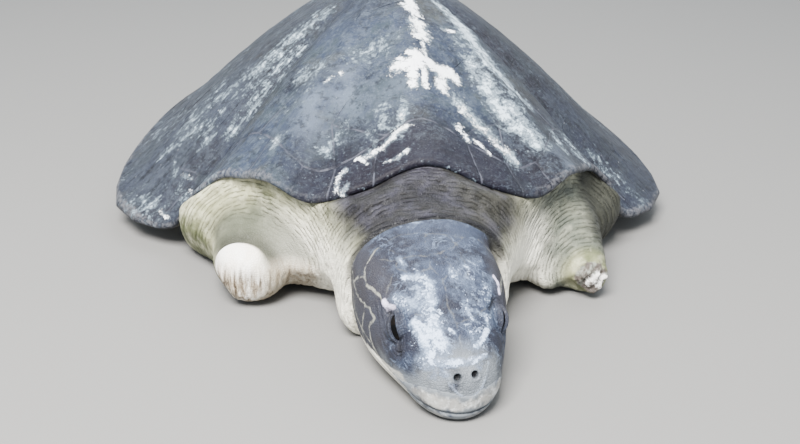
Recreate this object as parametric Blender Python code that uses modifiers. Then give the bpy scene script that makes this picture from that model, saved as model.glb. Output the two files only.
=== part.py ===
"""A still, life-size olive ridley sea turtle, at rest on its plastron with its chin on the floor.

Metres, +Z up, the head towards -Y. Each horny plate of the shell, the plastron, the two bridges and each
part of the body is its own closed solid. Both fore flippers end in healed stumps.
"""

import math

import bmesh
import bpy
from mathutils import Matrix, Vector

# Shell
SHELL_CENTRE_Y = -0.013
CROWN_HEIGHT = 0.268
CROWN_SOFTNESS = 0.13
DOME_FALL = 1.66
DOME_FLARE = 1.28
REAR_DOME_FALL = 1.95
REAR_DOME_FLARE = 1.12
KEEL_HEIGHT = 0.006
KEEL_WIDTH = 0.035
# Bearing from the nose in degrees, distance of the rim from the shell's centre, height of its upper edge
RIM = (
    (0, 0.299, 0.156),
    (12, 0.309, 0.132),
    (21, 0.307, 0.117),
    (30, 0.296, 0.127),
    (39, 0.274, 0.116),
    (48, 0.266, 0.103),
    (55, 0.276, 0.073),
    (61, 0.283, 0.036),
    (70, 0.308, 0.030),
    (79, 0.319, 0.031),
    (104, 0.306, 0.057),
    (134, 0.303, 0.088),
    (164, 0.320, 0.070),
    (180, 0.334, 0.060),
)
RIM_THICKNESS = 0.009
RIM_UNDERSIDE_RISE = 0.010
PLATE_THICKNESS = 0.009
SEAM_GAP = 0.0004
FLESH_GAP = 0.0008
CAD_GAP = 0.0003

# Plates: bearings of the seams between marginals, and where the costal seams meet the marginals
MARGINAL_SEAMS = (9.5, 17.5, 24.5, 37, 51, 65, 79, 93, 108, 124, 141, 160, 180)
COSTAL_SEAMS = (17.5, 44, 70, 96, 127)
FIRST_VERTEBRAL_EDGE = 7.5
LAST_VERTEBRAL_EDGE = 160
BAND_SHARE = 0.82
FRONT_BAND_NARROWING = 0.08
FRONT_BAND_BEARING = 23
VERTEBRAL_SEAMS_Y = (-0.176, -0.086, 0.004, 0.090, 0.168)
VERTEBRAL_SEAM_HALF_WIDTH = 0.043
VERTEBRAL_CORNERS_Y = (-0.222, -0.131, -0.041, 0.047, 0.129, 0.205)
VERTEBRAL_CORNER_HALF_WIDTHS = (0.083, 0.071, 0.070, 0.066, 0.060, 0.064)
ARC_STEP = 9.0
FRONT_ARC_STEP = 4.5
FRONT_ARC_END = 66
PLATE_GRID = 0.046
GRID_SNAP = 0.009

# Lower shell: bearing, distance of the plastron's edge from the shell's centre
PLASTRON = (
    (0, 0.245),
    (25, 0.232),
    (45, 0.212),
    (62, 0.222),
    (80, 0.204),
    (100, 0.200),
    (120, 0.212),
    (140, 0.222),
    (160, 0.242),
    (180, 0.252),
)
PLASTRON_TOP = 0.014
PLASTRON_EDGE_RISE = 0.006
BRIDGE_THICKNESS = 0.008
BRIDGE_BEARINGS = (65, 124)

# Body
RIGHT_SHOULDER_SWELL = 0.040
LEFT_SHOULDER_SWELL = 0.026
ARMPIT_SWELL = 0.018
THROAT_UNDERCUT = 0.034
BODY_VOXEL = 0.005
BODY_TRIANGLES = 3350
HEAD_ORIGIN = Vector((-0.0125, -0.375, 0.0))
HEAD_YAW = 6.5
NECK_CUT_TILT = 12.0
EYE_RADIUS = 0.0135
EYE_AHEAD = 0.086
EYE_OUT = 0.0388
EYE_HEIGHT = 0.0610
GAPE_CORNER_AHEAD = 0.066
GAPE_CORNER_HEIGHT = 0.030
GAPE_SLOPE = 13.5
BEAK_BACK_AHEAD = 0.108
BEAK_BACK_TILT = 20.0

COLOURS = {
    "shell": ((0.20, 0.22, 0.26, 1), 0.55),
    "plastron": ((0.72, 0.67, 0.53, 1), 0.6),
    "skin": ((0.42, 0.42, 0.38, 1), 0.7),
    "head": ((0.33, 0.35, 0.39, 1), 0.6),
    "eye": ((0.02, 0.02, 0.02, 1), 0.08),
}


def clear_scene():
    for obj in list(bpy.data.objects):
        bpy.data.objects.remove(obj)


def material(name):
    made = bpy.data.materials.get(name)
    if made is None:
        colour, roughness = COLOURS[name]
        made = bpy.data.materials.new(name)
        made.use_nodes = True
        shader = made.node_tree.nodes["Principled BSDF"]
        shader.inputs["Base Color"].default_value = colour
        shader.inputs["Roughness"].default_value = roughness
        made.diffuse_color = colour
    return made


def interpolate(table, at, column):
    """Smooth value of a column of a table whose rows run from bearing 0 to 180, level at both ends."""
    rows = [(-table[1][0], *table[1][1:])] + list(table) + [(360 - table[-2][0], *table[-2][1:])]
    at = min(max(at, 0.0), 180.0)
    i = next(k for k in range(1, len(rows) - 2) if at <= rows[k + 1][0])
    x0, x1, x2, x3 = (row[0] for row in rows[i - 1 : i + 3])
    v0, v1, v2, v3 = (row[column] for row in rows[i - 1 : i + 3])
    t = (at - x1) / (x2 - x1)
    slope_1 = (v2 - v0) / (x2 - x0) * (x2 - x1)
    slope_2 = (v3 - v1) / (x3 - x1) * (x2 - x1)
    h = t * t * (3 - 2 * t)
    return v1 * (1 - h) + v2 * h + slope_1 * t * (1 - t) ** 2 - slope_2 * t * t * (1 - t)


def smoothstep(low, high, value):
    t = min(max((value - low) / (high - low), 0.0), 1.0)
    return t * t * (3 - 2 * t)


def bell(value, centre, width):
    return math.exp(-(((value - centre) / width) ** 2))


def bearing(x, y):
    return math.degrees(math.atan2(abs(x), -(y - SHELL_CENTRE_Y)))


def rim_height(degrees):
    return interpolate(RIM, degrees, 2)


def share(x, y):
    """0 at the shell's centre, 1 at its rim."""
    return math.hypot(x, y - SHELL_CENTRE_Y) / interpolate(RIM, bearing(x, y), 1)


def shell_top(x, y):
    r = min(share(x, y), 1.0)
    degrees = bearing(x, y)
    rim = rim_height(degrees)
    rear = smoothstep(105, 165, degrees)
    fall = DOME_FALL + (REAR_DOME_FALL - DOME_FALL) * rear
    flare = DOME_FLARE + (REAR_DOME_FLARE - DOME_FLARE) * rear
    softened = math.sqrt((r * r + CROWN_SOFTNESS**2) / (1 + CROWN_SOFTNESS**2))
    rise = max(1 - softened**fall, 0.0) ** flare
    keel = KEEL_HEIGHT * bell(x, 0, KEEL_WIDTH) * (1 - r * r)
    return rim + (CROWN_HEIGHT - rim) * rise + keel


def band_share(degrees):
    """Where the marginals meet the costals, as a share of the way to the rim."""
    return BAND_SHARE + FRONT_BAND_NARROWING * bell(degrees, FRONT_BAND_BEARING, 13)


def rim_under(x, y):
    degrees = bearing(x, y)
    inward = max(1 - share(x, y), 0.0) / (1 - BAND_SHARE)
    return rim_height(degrees) - RIM_THICKNESS + RIM_UNDERSIDE_RISE * inward


def plate_under(x, y):
    return shell_top(x, y) - PLATE_THICKNESS


def at_bearing(degrees, portion):
    """Point in plan, on the turtle's left for positive degrees, at that portion of the way to the rim."""
    distance = interpolate(RIM, abs(degrees), 1) * portion
    angle = math.radians(degrees)
    return (distance * math.sin(angle), SHELL_CENTRE_Y - distance * math.cos(angle))


def band_point(degrees):
    return at_bearing(degrees, band_share(abs(degrees)))


def arc_stops():
    """Bearings of the points along the rim and the marginals' inner edge, on one side."""
    stops = {0.0, FIRST_VERTEBRAL_EDGE, *MARGINAL_SEAMS, *COSTAL_SEAMS, LAST_VERTEBRAL_EDGE}
    ordered = sorted(stops)
    for low, high in zip(ordered, ordered[1:]):
        step = FRONT_ARC_STEP if high < FRONT_ARC_END else ARC_STEP
        pieces = math.ceil((high - low) / step)
        stops.update(low + (high - low) * k / pieces for k in range(1, pieces))
    return sorted(stops)


def arc(start, end, place):
    """Points of an arc from bearing start to bearing end, either way round."""
    low, high = sorted((start, end))
    found = [b for b in arc_stops() if low - 1e-6 <= b <= high + 1e-6]
    return [place(b) for b in (found if start < end else found[::-1])]


def mirrored(points):
    return [(-x, y) for x, y in points][::-1]


def vertebral_outlines():
    ends = [(VERTEBRAL_SEAM_HALF_WIDTH, y) for y in VERTEBRAL_SEAMS_Y]
    corners = list(zip(VERTEBRAL_CORNER_HALF_WIDTHS, VERTEBRAL_CORNERS_Y))
    front = arc(0, FIRST_VERTEBRAL_EDGE, band_point)
    back = arc(LAST_VERTEBRAL_EDGE, 180, band_point)
    outlines = []
    for k, corner in enumerate(corners):
        right_half = (front if k == 0 else [(0, VERTEBRAL_SEAMS_Y[k - 1]), ends[k - 1]]) + [corner]
        right_half += back if k == len(corners) - 1 else [ends[k], (0, VERTEBRAL_SEAMS_Y[k])]
        left_half = [p for p in mirrored(right_half) if abs(p[0]) > 1e-9]
        outlines.append(right_half + left_half)
    return outlines


def costal_outlines():
    ends = [(VERTEBRAL_SEAM_HALF_WIDTH, y) for y in VERTEBRAL_SEAMS_Y]
    corners = list(zip(VERTEBRAL_CORNER_HALF_WIDTHS, VERTEBRAL_CORNERS_Y))
    first = arc(FIRST_VERTEBRAL_EDGE, COSTAL_SEAMS[0], band_point) + [corners[0]]
    outlines = [first]
    for k in range(1, len(COSTAL_SEAMS)):
        medial = [corners[k], ends[k - 1], corners[k - 1]]
        outlines.append(arc(COSTAL_SEAMS[k - 1], COSTAL_SEAMS[k], band_point) + medial)
    last = arc(COSTAL_SEAMS[-1], LAST_VERTEBRAL_EDGE, band_point)
    outlines.append(last + [corners[-1], ends[-1], corners[-2]])
    return outlines


def marginal_outlines():
    pairs = zip(MARGINAL_SEAMS, MARGINAL_SEAMS[1:])
    return [
        arc(low, high, band_point) + arc(high, low, lambda b: at_bearing(b, 1.0))
        for low, high in pairs
    ]


def carapace_outlines():
    """Name to outline in plan of every plate of the upper shell."""
    edge = MARGINAL_SEAMS[0]
    half = arc(0, edge, band_point) + arc(edge, 0, lambda b: at_bearing(b, 1.0))
    plates = {"nuchal": half + [p for p in mirrored(half) if abs(p[0]) > 1e-9]}
    for k, outline in enumerate(vertebral_outlines(), 1):
        plates[f"vertebral_{k}"] = outline
    for kind, outlines in (("costal", costal_outlines()), ("marginal", marginal_outlines())):
        for k, outline in enumerate(outlines, 1):
            plates[f"{kind}_left_{k}"] = outline
            plates[f"{kind}_right_{k}"] = mirrored(outline)
    return plates


def plastron_point(degrees):
    distance = interpolate(PLASTRON, abs(degrees), 1)
    angle = math.radians(degrees)
    return (distance * math.sin(angle), SHELL_CENTRE_Y - distance * math.cos(angle))


def lower_outlines():
    low, high = BRIDGE_BEARINGS
    stops = [b for b in arc_stops() if low - 1e-6 <= b <= high + 1e-6]
    edge = [plastron_point(b) for b in range(0, low, 8)] + [plastron_point(b) for b in stops]
    edge += [plastron_point(b) for b in range(high + 8, 180, 8)] + [plastron_point(180)]
    inner = [plastron_point(b) for b in stops]
    outer = [at_bearing(b, BAND_SHARE - 0.004) for b in stops]
    bridge = outer + inner[::-1]
    return {
        "plastron": edge + [p for p in mirrored(edge) if abs(p[0]) > 1e-9],
        "bridge_left": bridge,
        "bridge_right": mirrored(bridge),
    }


def plastron_share(x, y):
    return math.hypot(x, y - SHELL_CENTRE_Y) / interpolate(PLASTRON, bearing(x, y), 1)


def lower_bottom(x, y):
    """Underside of the plastron, flat but for its edge, and of the bridge that climbs to the marginals."""
    within = plastron_share(x, y)
    if within <= 1.0001:
        return PLASTRON_EDGE_RISE * smoothstep(0.86, 1.0, within)
    degrees = bearing(x, y)
    inner = interpolate(PLASTRON, degrees, 1)
    outer = interpolate(RIM, degrees, 1) * BAND_SHARE
    distance = math.hypot(x, y - SHELL_CENTRE_Y)
    climb = min(max((distance - inner) / (outer - inner), 0.0), 1.0)
    top = rim_height(degrees) - RIM_THICKNESS + RIM_UNDERSIDE_RISE
    return PLASTRON_EDGE_RISE + (top - PLASTRON_EDGE_RISE) * climb**1.2


def lower_top(x, y):
    if plastron_share(x, y) <= 1.0001:
        return PLASTRON_TOP
    return max(lower_bottom(x, y) + BRIDGE_THICKNESS, PLASTRON_TOP)


def sheet_of(outlines):
    """A flat mesh of all the outlines, sharing their edges, cut by a grid and into triangles."""
    bm = bmesh.new()
    layer = bm.faces.layers.int.new("plate")
    corners = {}
    for number, outline in enumerate(outlines.values()):
        loop = []
        for x, y in outline:
            key = (round(x, 6), round(y, 6))
            if key not in corners:
                corners[key] = bm.verts.new((x, y, 0))
            loop.append(corners[key])
        bm.faces.new(loop)[layer] = number
    for face in bm.faces:
        face.normal_update()
        if face.normal.z < 0:
            face.normal_flip()
    count = int(0.36 / PLATE_GRID)
    for k in range(-count, count + 1):
        for normal in (Vector((1, 0, 0)), Vector((0, 1, 0))):
            bmesh.ops.bisect_plane(
                bm,
                geom=bm.verts[:] + bm.edges[:] + bm.faces[:],
                dist=GRID_SNAP,
                plane_co=normal * k * PLATE_GRID,
                plane_no=normal,
            )
    bmesh.ops.triangulate(bm, faces=bm.faces[:])
    return bm


def link(name, bm, finish):
    bmesh.ops.recalc_face_normals(bm, faces=bm.faces[:])
    mesh = bpy.data.meshes.new(name)
    bm.to_mesh(mesh)
    bm.free()
    obj = bpy.data.objects.new(name, mesh)
    collection("olive_ridley_turtle").objects.link(obj)
    mesh.materials.append(material(finish))
    return obj


def collection(name):
    made = bpy.data.collections.get(name)
    if made is None:
        made = bpy.data.collections.new(name)
        bpy.context.scene.collection.children.link(made)
    return made


def thicken(bm, top, bottom):
    """Turns a flat sheet into a closed solid between two height functions of a vertex."""
    raised = bmesh.ops.extrude_face_region(bm, geom=bm.faces[:])["geom"]
    upper = {v for v in raised if isinstance(v, bmesh.types.BMVert)}
    for v in bm.verts:
        v.co.z = top(v) if v in upper else bottom(v)


def height(surface, offset=0.0):
    """A height function of a vertex from one of x and y."""
    return lambda v: surface(v.co.x, v.co.y) + offset


def plate(name, sheet, number, top, bottom, finish):
    bm = sheet.copy()
    layer = bm.faces.layers.int["plate"]
    bmesh.ops.delete(bm, geom=[f for f in bm.faces if f[layer] != number], context="FACES")
    ring = bmesh.ops.inset_region(
        bm, faces=bm.faces[:], thickness=SEAM_GAP / 2, use_boundary=True, use_even_offset=True
    )
    bmesh.ops.delete(bm, geom=ring["faces"], context="FACES")
    thicken(bm, height(top), height(bottom))
    return link(name, bm, finish)


def carapace():
    outlines = carapace_outlines()
    sheet = sheet_of(outlines)
    for number, name in enumerate(outlines):
        bottom = rim_under if is_outer(name) else plate_under
        plate(name, sheet, number, shell_top, bottom, "shell")
    return sheet


def lower_shell():
    outlines = lower_outlines()
    sheet = sheet_of(outlines)
    for number, name in enumerate(outlines):
        plate(name, sheet, number, lower_top, lower_bottom, "plastron")
    return sheet


def cutter(name, bm):
    obj = link(name, bm, "skin")
    collection("olive_ridley_turtle").objects.unlink(obj)
    collection("cutters").objects.link(obj)
    obj.hide_render = True
    obj.display_type = "WIRE"
    return obj


def is_outer(name):
    return name.startswith(("nuchal", "marginal"))


def shell_cutters(upper_sheet, lower_sheet):
    """Solids that fill the shell and all above it, and the plastron and all below it."""
    layer = upper_sheet.faces.layers.int["plate"]
    outer_numbers = {k for k, name in enumerate(carapace_outlines()) if is_outer(name)}
    outer = {v for f in upper_sheet.faces if f[layer] in outer_numbers for v in f.verts}
    rim = [e for e in upper_sheet.edges if e.is_boundary]
    for v in bmesh.ops.extrude_edge_only(upper_sheet, edges=rim)["geom"]:
        if isinstance(v, bmesh.types.BMVert):
            v.co.x *= 1.012
            v.co.y = SHELL_CENTRE_Y + (v.co.y - SHELL_CENTRE_Y) * 1.012
            outer.add(v)
    for v in upper_sheet.verts:
        surface = rim_under if v in outer else plate_under
        v.co.z = surface(v.co.x, v.co.y) - FLESH_GAP
    thicken(upper_sheet, lambda v: CROWN_HEIGHT + 0.1, lambda v: v.co.z)
    thicken(lower_sheet, height(lower_top, FLESH_GAP), lambda v: -0.1)
    return cutter("above_shell", upper_sheet), cutter("below_shell", lower_sheet)


def box_bm(centre, size, rotation=(0, 0, 0)):
    """A box, turned about X, Y and Z in degrees, about its centre."""
    bm = bmesh.new()
    bmesh.ops.create_cube(bm, size=1)
    turn = Matrix.Identity(4)
    for degrees, axis in zip(rotation, "XYZ"):
        turn = Matrix.Rotation(math.radians(degrees), 4, axis) @ turn
    bm.transform(Matrix.Translation(centre) @ turn @ Matrix.Diagonal((*size, 1)))
    return bm


def loft(bm, stations, sides=28):
    """A closed skin over rings. A station is (centre, across, up, half width, half height, squareness)."""
    loops = []
    for centre, across, up, half_width, half_height, square in stations:
        ring = bmesh.ops.create_circle(bm, segments=sides, radius=1)["verts"]
        for v in ring:
            c, s = v.co.x, v.co.y
            c = math.copysign(abs(c) ** (2 / square), c)
            s = math.copysign(abs(s) ** (2 / square), s)
            v.co = centre + across * (c * half_width) + up * (s * half_height)
        edges = {e for v in ring for e in v.link_edges}
        loops.append((ring, edges))
    for (_, first), (_, second) in zip(loops, loops[1:]):
        bmesh.ops.bridge_loops(bm, edges=list(first | second))
    for ring, edges in (loops[0], loops[-1]):
        bmesh.ops.contextual_create(bm, geom=list(edges))


def limb(bm, spine, square=2.0):
    """A loft along points (x, y, z, half width, half height), its rings square to the way between points."""
    points = [Vector(p[:3]) for p in spine]
    stations = []
    for k, (_, _, _, half_width, half_height) in enumerate(spine):
        ahead = points[min(k + 1, len(points) - 1)] - points[max(k - 1, 0)]
        across = Vector((0, 0, 1)).cross(ahead).normalized()
        up = ahead.cross(across).normalized()
        stations.append((points[k], across, up, half_width, half_height, square))
    loft(bm, stations)


def ellipsoid(bm, centre, radii):
    ball = bmesh.ops.create_uvsphere(bm, u_segments=28, v_segments=16, radius=1)["verts"]
    bmesh.ops.transform(bm, verts=ball, matrix=Matrix.Translation(centre) @ Matrix.Diagonal((*radii, 1)))


def wall(degrees, height):
    """Distance of the skin from the shell's centre. It swells over the shoulders and behind the arms, and is
    undercut beside the throat."""
    b = abs(degrees)
    in_bridge = smoothstep(60, 70, b) * smoothstep(130, 120, b)
    distance = interpolate(RIM, b, 1) * (0.945 - 0.165 * in_bridge - 0.06 * smoothstep(118, 128, b))
    swelling = RIGHT_SHOULDER_SWELL if degrees < 0 else LEFT_SHOULDER_SWELL
    fullness = smoothstep(0.112, 0.045, height) * (1 - 0.3 * smoothstep(0.03, 0.0, height))
    shoulder = swelling * bell(b, 41, 13)
    web = 0.016 * bell(b, 20, 10)
    armpit = ARMPIT_SWELL * bell(b, 54, 7) * smoothstep(0.0, 0.045, height) * smoothstep(0.08, 0.055, height)
    undercut = THROAT_UNDERCUT * bell(b, 23, 13) * smoothstep(0.036, 0.004, height)
    return distance + fullness * (shoulder + web) + armpit - undercut


def core(bm):
    """The bulk inside the shell, which the shell then trims."""
    rings = []
    for height in (0.005, 0.02, 0.04, 0.06, 0.08, 0.1, 0.12, CROWN_HEIGHT):
        ring = bmesh.ops.create_circle(bm, segments=72, radius=1)["verts"]
        for v in ring:
            degrees = math.degrees(math.atan2(v.co.x, -v.co.y))
            distance = wall(degrees, height)
            v.co = (v.co.x * distance, SHELL_CENTRE_Y + v.co.y * distance, height)
        rings.append(list({e for v in ring for e in v.link_edges}))
    for lower, upper in zip(rings, rings[1:]):
        bmesh.ops.bridge_loops(bm, edges=lower + upper)
    for ring in (rings[0], rings[-1]):
        bmesh.ops.contextual_create(bm, geom=ring)


def neck_flesh(bm):
    across = Vector((1, 0, 0))
    up = Vector((0, 0, 1))
    # y, middle x, half width, top, bottom
    rows = (
        (-0.200, 0.000, 0.150, 0.168, 0.004),
        (-0.265, 0.000, 0.132, 0.152, 0.006),
        (-0.290, 0.000, 0.114, 0.146, 0.006),
        (-0.315, -0.002, 0.098, 0.139, 0.004),
        (-0.340, -0.005, 0.086, 0.132, 0.000),
        (-0.362, -0.008, 0.079, 0.126, -0.004),
        (-0.385, -0.009, 0.074, 0.120, -0.004),
        (-0.400, -0.008, 0.066, 0.108, 0.004),
    )
    stations = []
    for y, x, half_width, top, bottom in rows:
        centre = Vector((x, y, (top + bottom) / 2))
        stations.append((centre, across, up, half_width, (top - bottom) / 2, 2.3))
    loft(bm, stations)


def shoulder_flesh(bm):
    """The right arm ends in a round knob. The left is a broader arm, with an elbow fold and a narrow tip."""
    limb(bm, (
        (-0.150, -0.200, 0.050, 0.050, 0.042),
        (-0.160, -0.245, 0.042, 0.044, 0.042),
        (-0.164, -0.270, 0.034, 0.038, 0.034),
        (-0.166, -0.290, 0.031, 0.032, 0.029),
        (-0.167, -0.303, 0.029, 0.021, 0.019),
    ), 2.2)
    limb(bm, (
        (0.145, -0.200, 0.052, 0.048, 0.040),
        (0.152, -0.240, 0.046, 0.042, 0.038),
        (0.158, -0.266, 0.034, 0.034, 0.032),
        (0.166, -0.284, 0.025, 0.025, 0.025),
        (0.170, -0.297, 0.022, 0.019, 0.021),
        (0.171, -0.306, 0.020, 0.012, 0.013),
    ), 2.2)
    ellipsoid(bm, (0.134, -0.262, 0.026), (0.026, 0.024, 0.026))
    ellipsoid(bm, (-0.054, -0.345, 0.030), (0.034, 0.060, 0.032))
    ellipsoid(bm, (0.046, -0.340, 0.030), (0.030, 0.055, 0.032))


def hind_flesh(bm):
    for side in (-1, 1):
        ellipsoid(bm, (side * 0.130, 0.185, 0.056), (0.075, 0.070, 0.046))
        limb(bm, (
            (side * 0.135, 0.170, 0.050, 0.055, 0.040),
            (side * 0.160, 0.225, 0.040, 0.042, 0.030),
            (side * 0.180, 0.265, 0.024, 0.036, 0.019),
            (side * 0.199, 0.300, 0.011, 0.040, 0.013),
            (side * 0.216, 0.335, 0.006, 0.044, 0.010),
            (side * 0.232, 0.368, 0.003, 0.040, 0.008),
            (side * 0.243, 0.394, 0.001, 0.026, 0.006),
            (side * 0.247, 0.404, 0.001, 0.012, 0.004),
        ), 2.2)


def tail_flesh(bm):
    ellipsoid(bm, (0, 0.215, 0.050), (0.085, 0.060, 0.036))
    limb(bm, (
        (0, 0.220, 0.046, 0.050, 0.032),
        (0, 0.265, 0.038, 0.034, 0.025),
        (0, 0.300, 0.030, 0.022, 0.018),
        (0, 0.330, 0.022, 0.014, 0.012),
        (0, 0.352, 0.016, 0.007, 0.007),
    ), 2.0)


def evaluated(obj, name):
    """A new mesh object with the modifiers of obj applied; obj is removed."""
    graph = bpy.context.evaluated_depsgraph_get()
    mesh = bpy.data.meshes.new_from_object(obj.evaluated_get(graph))
    mesh.name = name
    bpy.data.objects.remove(obj)
    made = bpy.data.objects.new(name, mesh)
    collection("olive_ridley_turtle").objects.link(made)
    return made


def body():
    """All the flesh but the head, blended into one skin and coarsened."""
    bm = bmesh.new()
    for build in (core, neck_flesh, shoulder_flesh, hind_flesh, tail_flesh):
        build(bm)
    obj = link("body", bm, "skin")
    remesh = obj.modifiers.new("blend", "REMESH")
    remesh.mode = "VOXEL"
    remesh.voxel_size = BODY_VOXEL
    smooth = obj.modifiers.new("soften", "SMOOTH")
    smooth.factor = 0.5
    smooth.iterations = 10
    obj = evaluated(obj, "body")
    fewer = obj.modifiers.new("coarsen", "DECIMATE")
    fewer.ratio = BODY_TRIANGLES / (2 * len(obj.data.polygons))
    return evaluated(obj, "body")


def boolean(obj, other, operation):
    cut = obj.modifiers.new(operation.lower(), "BOOLEAN")
    cut.operation = operation
    cut.object = other
    cut.solver = "EXACT"
    return evaluated(obj, obj.name)


def copy_of(obj, name):
    made = obj.copy()
    made.data = obj.data.copy()
    made.name = name
    collection("olive_ridley_turtle").objects.link(made)
    return made


def part_off(obj, name, centre, size, rotation=(0, 0, 0)):
    """Splits a box's share off obj into its own node. Returns what is left and the new node."""
    inner = cutter(name + "_inside", box_bm(centre, size, rotation))
    outer = cutter(name + "_outside", box_bm(centre, [s + 2 * CAD_GAP for s in size], rotation))
    taken = boolean(copy_of(obj, name), inner, "INTERSECT")
    left = boolean(obj, outer, "DIFFERENCE")
    return left, taken


def split_body(flesh):
    """Cuts the skin of the body into the trunk, the neck, the flippers and the tail."""
    neck_width, neck_back, arm_back, leg_front, tail_front = 0.212, -0.272, -0.222, 0.235, 0.268
    middle = neck_back - 0.1
    flesh, _ = part_off(flesh, "neck", (0, middle, 0.1), (neck_width, 0.2, 0.4))
    reach = 0.3
    arm_middle = neck_width / 2 + CAD_GAP + reach / 2
    for side, word in ((1, "left"), (-1, "right")):
        centre = (side * arm_middle, arm_back - reach / 2, 0.1)
        flesh, _ = part_off(flesh, f"front_flipper_{word}", centre, (reach, reach, 0.4))
        centre = (side * (0.085 + CAD_GAP + reach / 2), leg_front + reach / 2, 0.1)
        flesh, _ = part_off(flesh, f"hind_flipper_{word}", centre, (reach, reach, 0.4))
    flesh, _ = part_off(flesh, "tail", (0, tail_front + 0.1, 0.1), (0.170, 0.2, 0.4))
    flesh.name = "trunk"


def head_solid():
    """The whole head on its own axis, facing -Y, the chin just under the floor."""
    across = Vector((1, 0, 0))
    up = Vector((0, 0, 1))
    # distance ahead of the crease behind the head, half width, top, bottom, squareness
    rows = (
        (-0.030, 0.0570, 0.1130, 0.002, 2.3),
        (-0.010, 0.0620, 0.1180, -0.002, 2.4),
        (0.008, 0.0645, 0.1190, -0.003, 2.5),
        (0.028, 0.0655, 0.1175, -0.003, 2.6),
        (0.048, 0.0640, 0.1125, -0.003, 2.6),
        (0.066, 0.0600, 0.1045, -0.003, 2.5),
        (0.083, 0.0545, 0.0945, -0.003, 2.4),
        (0.099, 0.0485, 0.0830, -0.002, 2.4),
        (0.114, 0.0422, 0.0710, -0.002, 2.4),
        (0.127, 0.0365, 0.0605, -0.001, 2.4),
        (0.136, 0.0300, 0.0525, 0.000, 2.3),
        (0.143, 0.0220, 0.0460, 0.002, 2.2),
        (0.1470, 0.0120, 0.0395, 0.006, 2.0),
        (0.1485, 0.0050, 0.0330, 0.011, 2.0),
    )
    bm = bmesh.new()
    stations = []
    for ahead, half_width, top, bottom, square in rows:
        centre = Vector((0, -ahead, (top + bottom) / 2))
        stations.append((centre, across, up, half_width, (top - bottom) / 2, square))
    loft(bm, stations, 26)
    bm.transform(head_place())
    return link("head", bm, "head")


def head_place():
    return Matrix.Translation(HEAD_ORIGIN) @ Matrix.Rotation(math.radians(HEAD_YAW), 4, "Z")


def on_head(ahead, height, out=0.0):
    """Point in the model from distances ahead of the crease, up and to the turtle's left."""
    return head_place() @ Vector((out, -ahead, height))


def eye(name, side):
    bm = bmesh.new()
    bmesh.ops.create_uvsphere(bm, u_segments=16, v_segments=10, radius=EYE_RADIUS)
    place = head_place() @ Matrix.Translation((side * EYE_OUT, -EYE_AHEAD, EYE_HEIGHT))
    bm.transform(place @ Matrix.Rotation(math.radians(90), 4, "Y"))
    return link(name, bm, "eye")


def eye_socket(side):
    bm = bmesh.new()
    bmesh.ops.create_uvsphere(bm, u_segments=16, v_segments=10, radius=EYE_RADIUS + 0.0006)
    place = head_place() @ Matrix.Translation((side * EYE_OUT, -EYE_AHEAD, EYE_HEIGHT))
    bm.transform(place @ Matrix.Rotation(math.radians(90), 4, "Y"))
    return cutter(f"socket_{side}", bm)


def floor_off(obj):
    """Cuts off whatever is under the floor, which leaves a flat to rest on."""
    return boolean(obj, cutter(obj.name + "_floor", box_bm((0, 0, -0.1), (2, 2, 0.2))), "DIFFERENCE")


def head_parts(flesh):
    """The head, its lower jaw, its horny beak and its eyes, and the body cut back to meet them."""
    head = head_solid()
    back = (NECK_CUT_TILT, 0, HEAD_YAW)
    behind = on_head(-0.1, 0.06)
    front_half = cutter("behind_head", box_bm(behind, (0.4, 0.2 + CAD_GAP, 0.4), back))
    head = boolean(head, front_half, "DIFFERENCE")
    ahead = on_head(0.1, 0.06)
    rear_half = cutter("before_neck", box_bm(ahead, (0.4, 0.2 + CAD_GAP, 0.4), back))
    flesh = boolean(flesh, rear_half, "DIFFERENCE")
    head = floor_off(head)
    for name, side in (("eye_left", 1), ("eye_right", -1)):
        eye(name, side)
        head = boolean(head, eye_socket(side), "DIFFERENCE")
    # The mouth line climbs towards the corner of the mouth, and the beak covers the snout's lower front.
    mouth = (-GAPE_SLOPE, 0, HEAD_YAW)
    jaw_length, jaw_depth = 0.110, 0.080
    slope = math.radians(GAPE_SLOPE)
    middle = on_head(
        GAPE_CORNER_AHEAD + jaw_length / 2 * math.cos(slope) - jaw_depth / 2 * math.sin(slope),
        GAPE_CORNER_HEIGHT - jaw_length / 2 * math.sin(slope) - jaw_depth / 2 * math.cos(slope),
    )
    head, _ = part_off(head, "lower_jaw", middle, (0.2, jaw_length, jaw_depth), mouth)
    beak = on_head(BEAK_BACK_AHEAD + 0.05, 0.002)
    head, _ = part_off(head, "upper_beak", beak, (0.2, 0.1, 0.060), (BEAK_BACK_TILT, 0, HEAD_YAW))
    return flesh


def main():
    clear_scene()
    upper = carapace()
    lower = lower_shell()
    above, below = shell_cutters(upper, lower)
    flesh = body()
    flesh = boolean(flesh, above, "DIFFERENCE")
    flesh = boolean(flesh, below, "DIFFERENCE")
    flesh = floor_off(flesh)
    flesh = head_parts(flesh)
    split_body(flesh)


main()
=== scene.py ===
"""The looks of a still, life-size olive ridley sea turtle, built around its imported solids.

Metres, +Z up, the head towards -Y, so that the turtle's left is +X. Every horny plate is its own
piece, one skin covers all the flesh, and the beak and the eyes are pieces of their own. Colours
are linear.
"""

import math

import bmesh
import bpy
import numpy as np
from mathutils import Matrix, Vector


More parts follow.
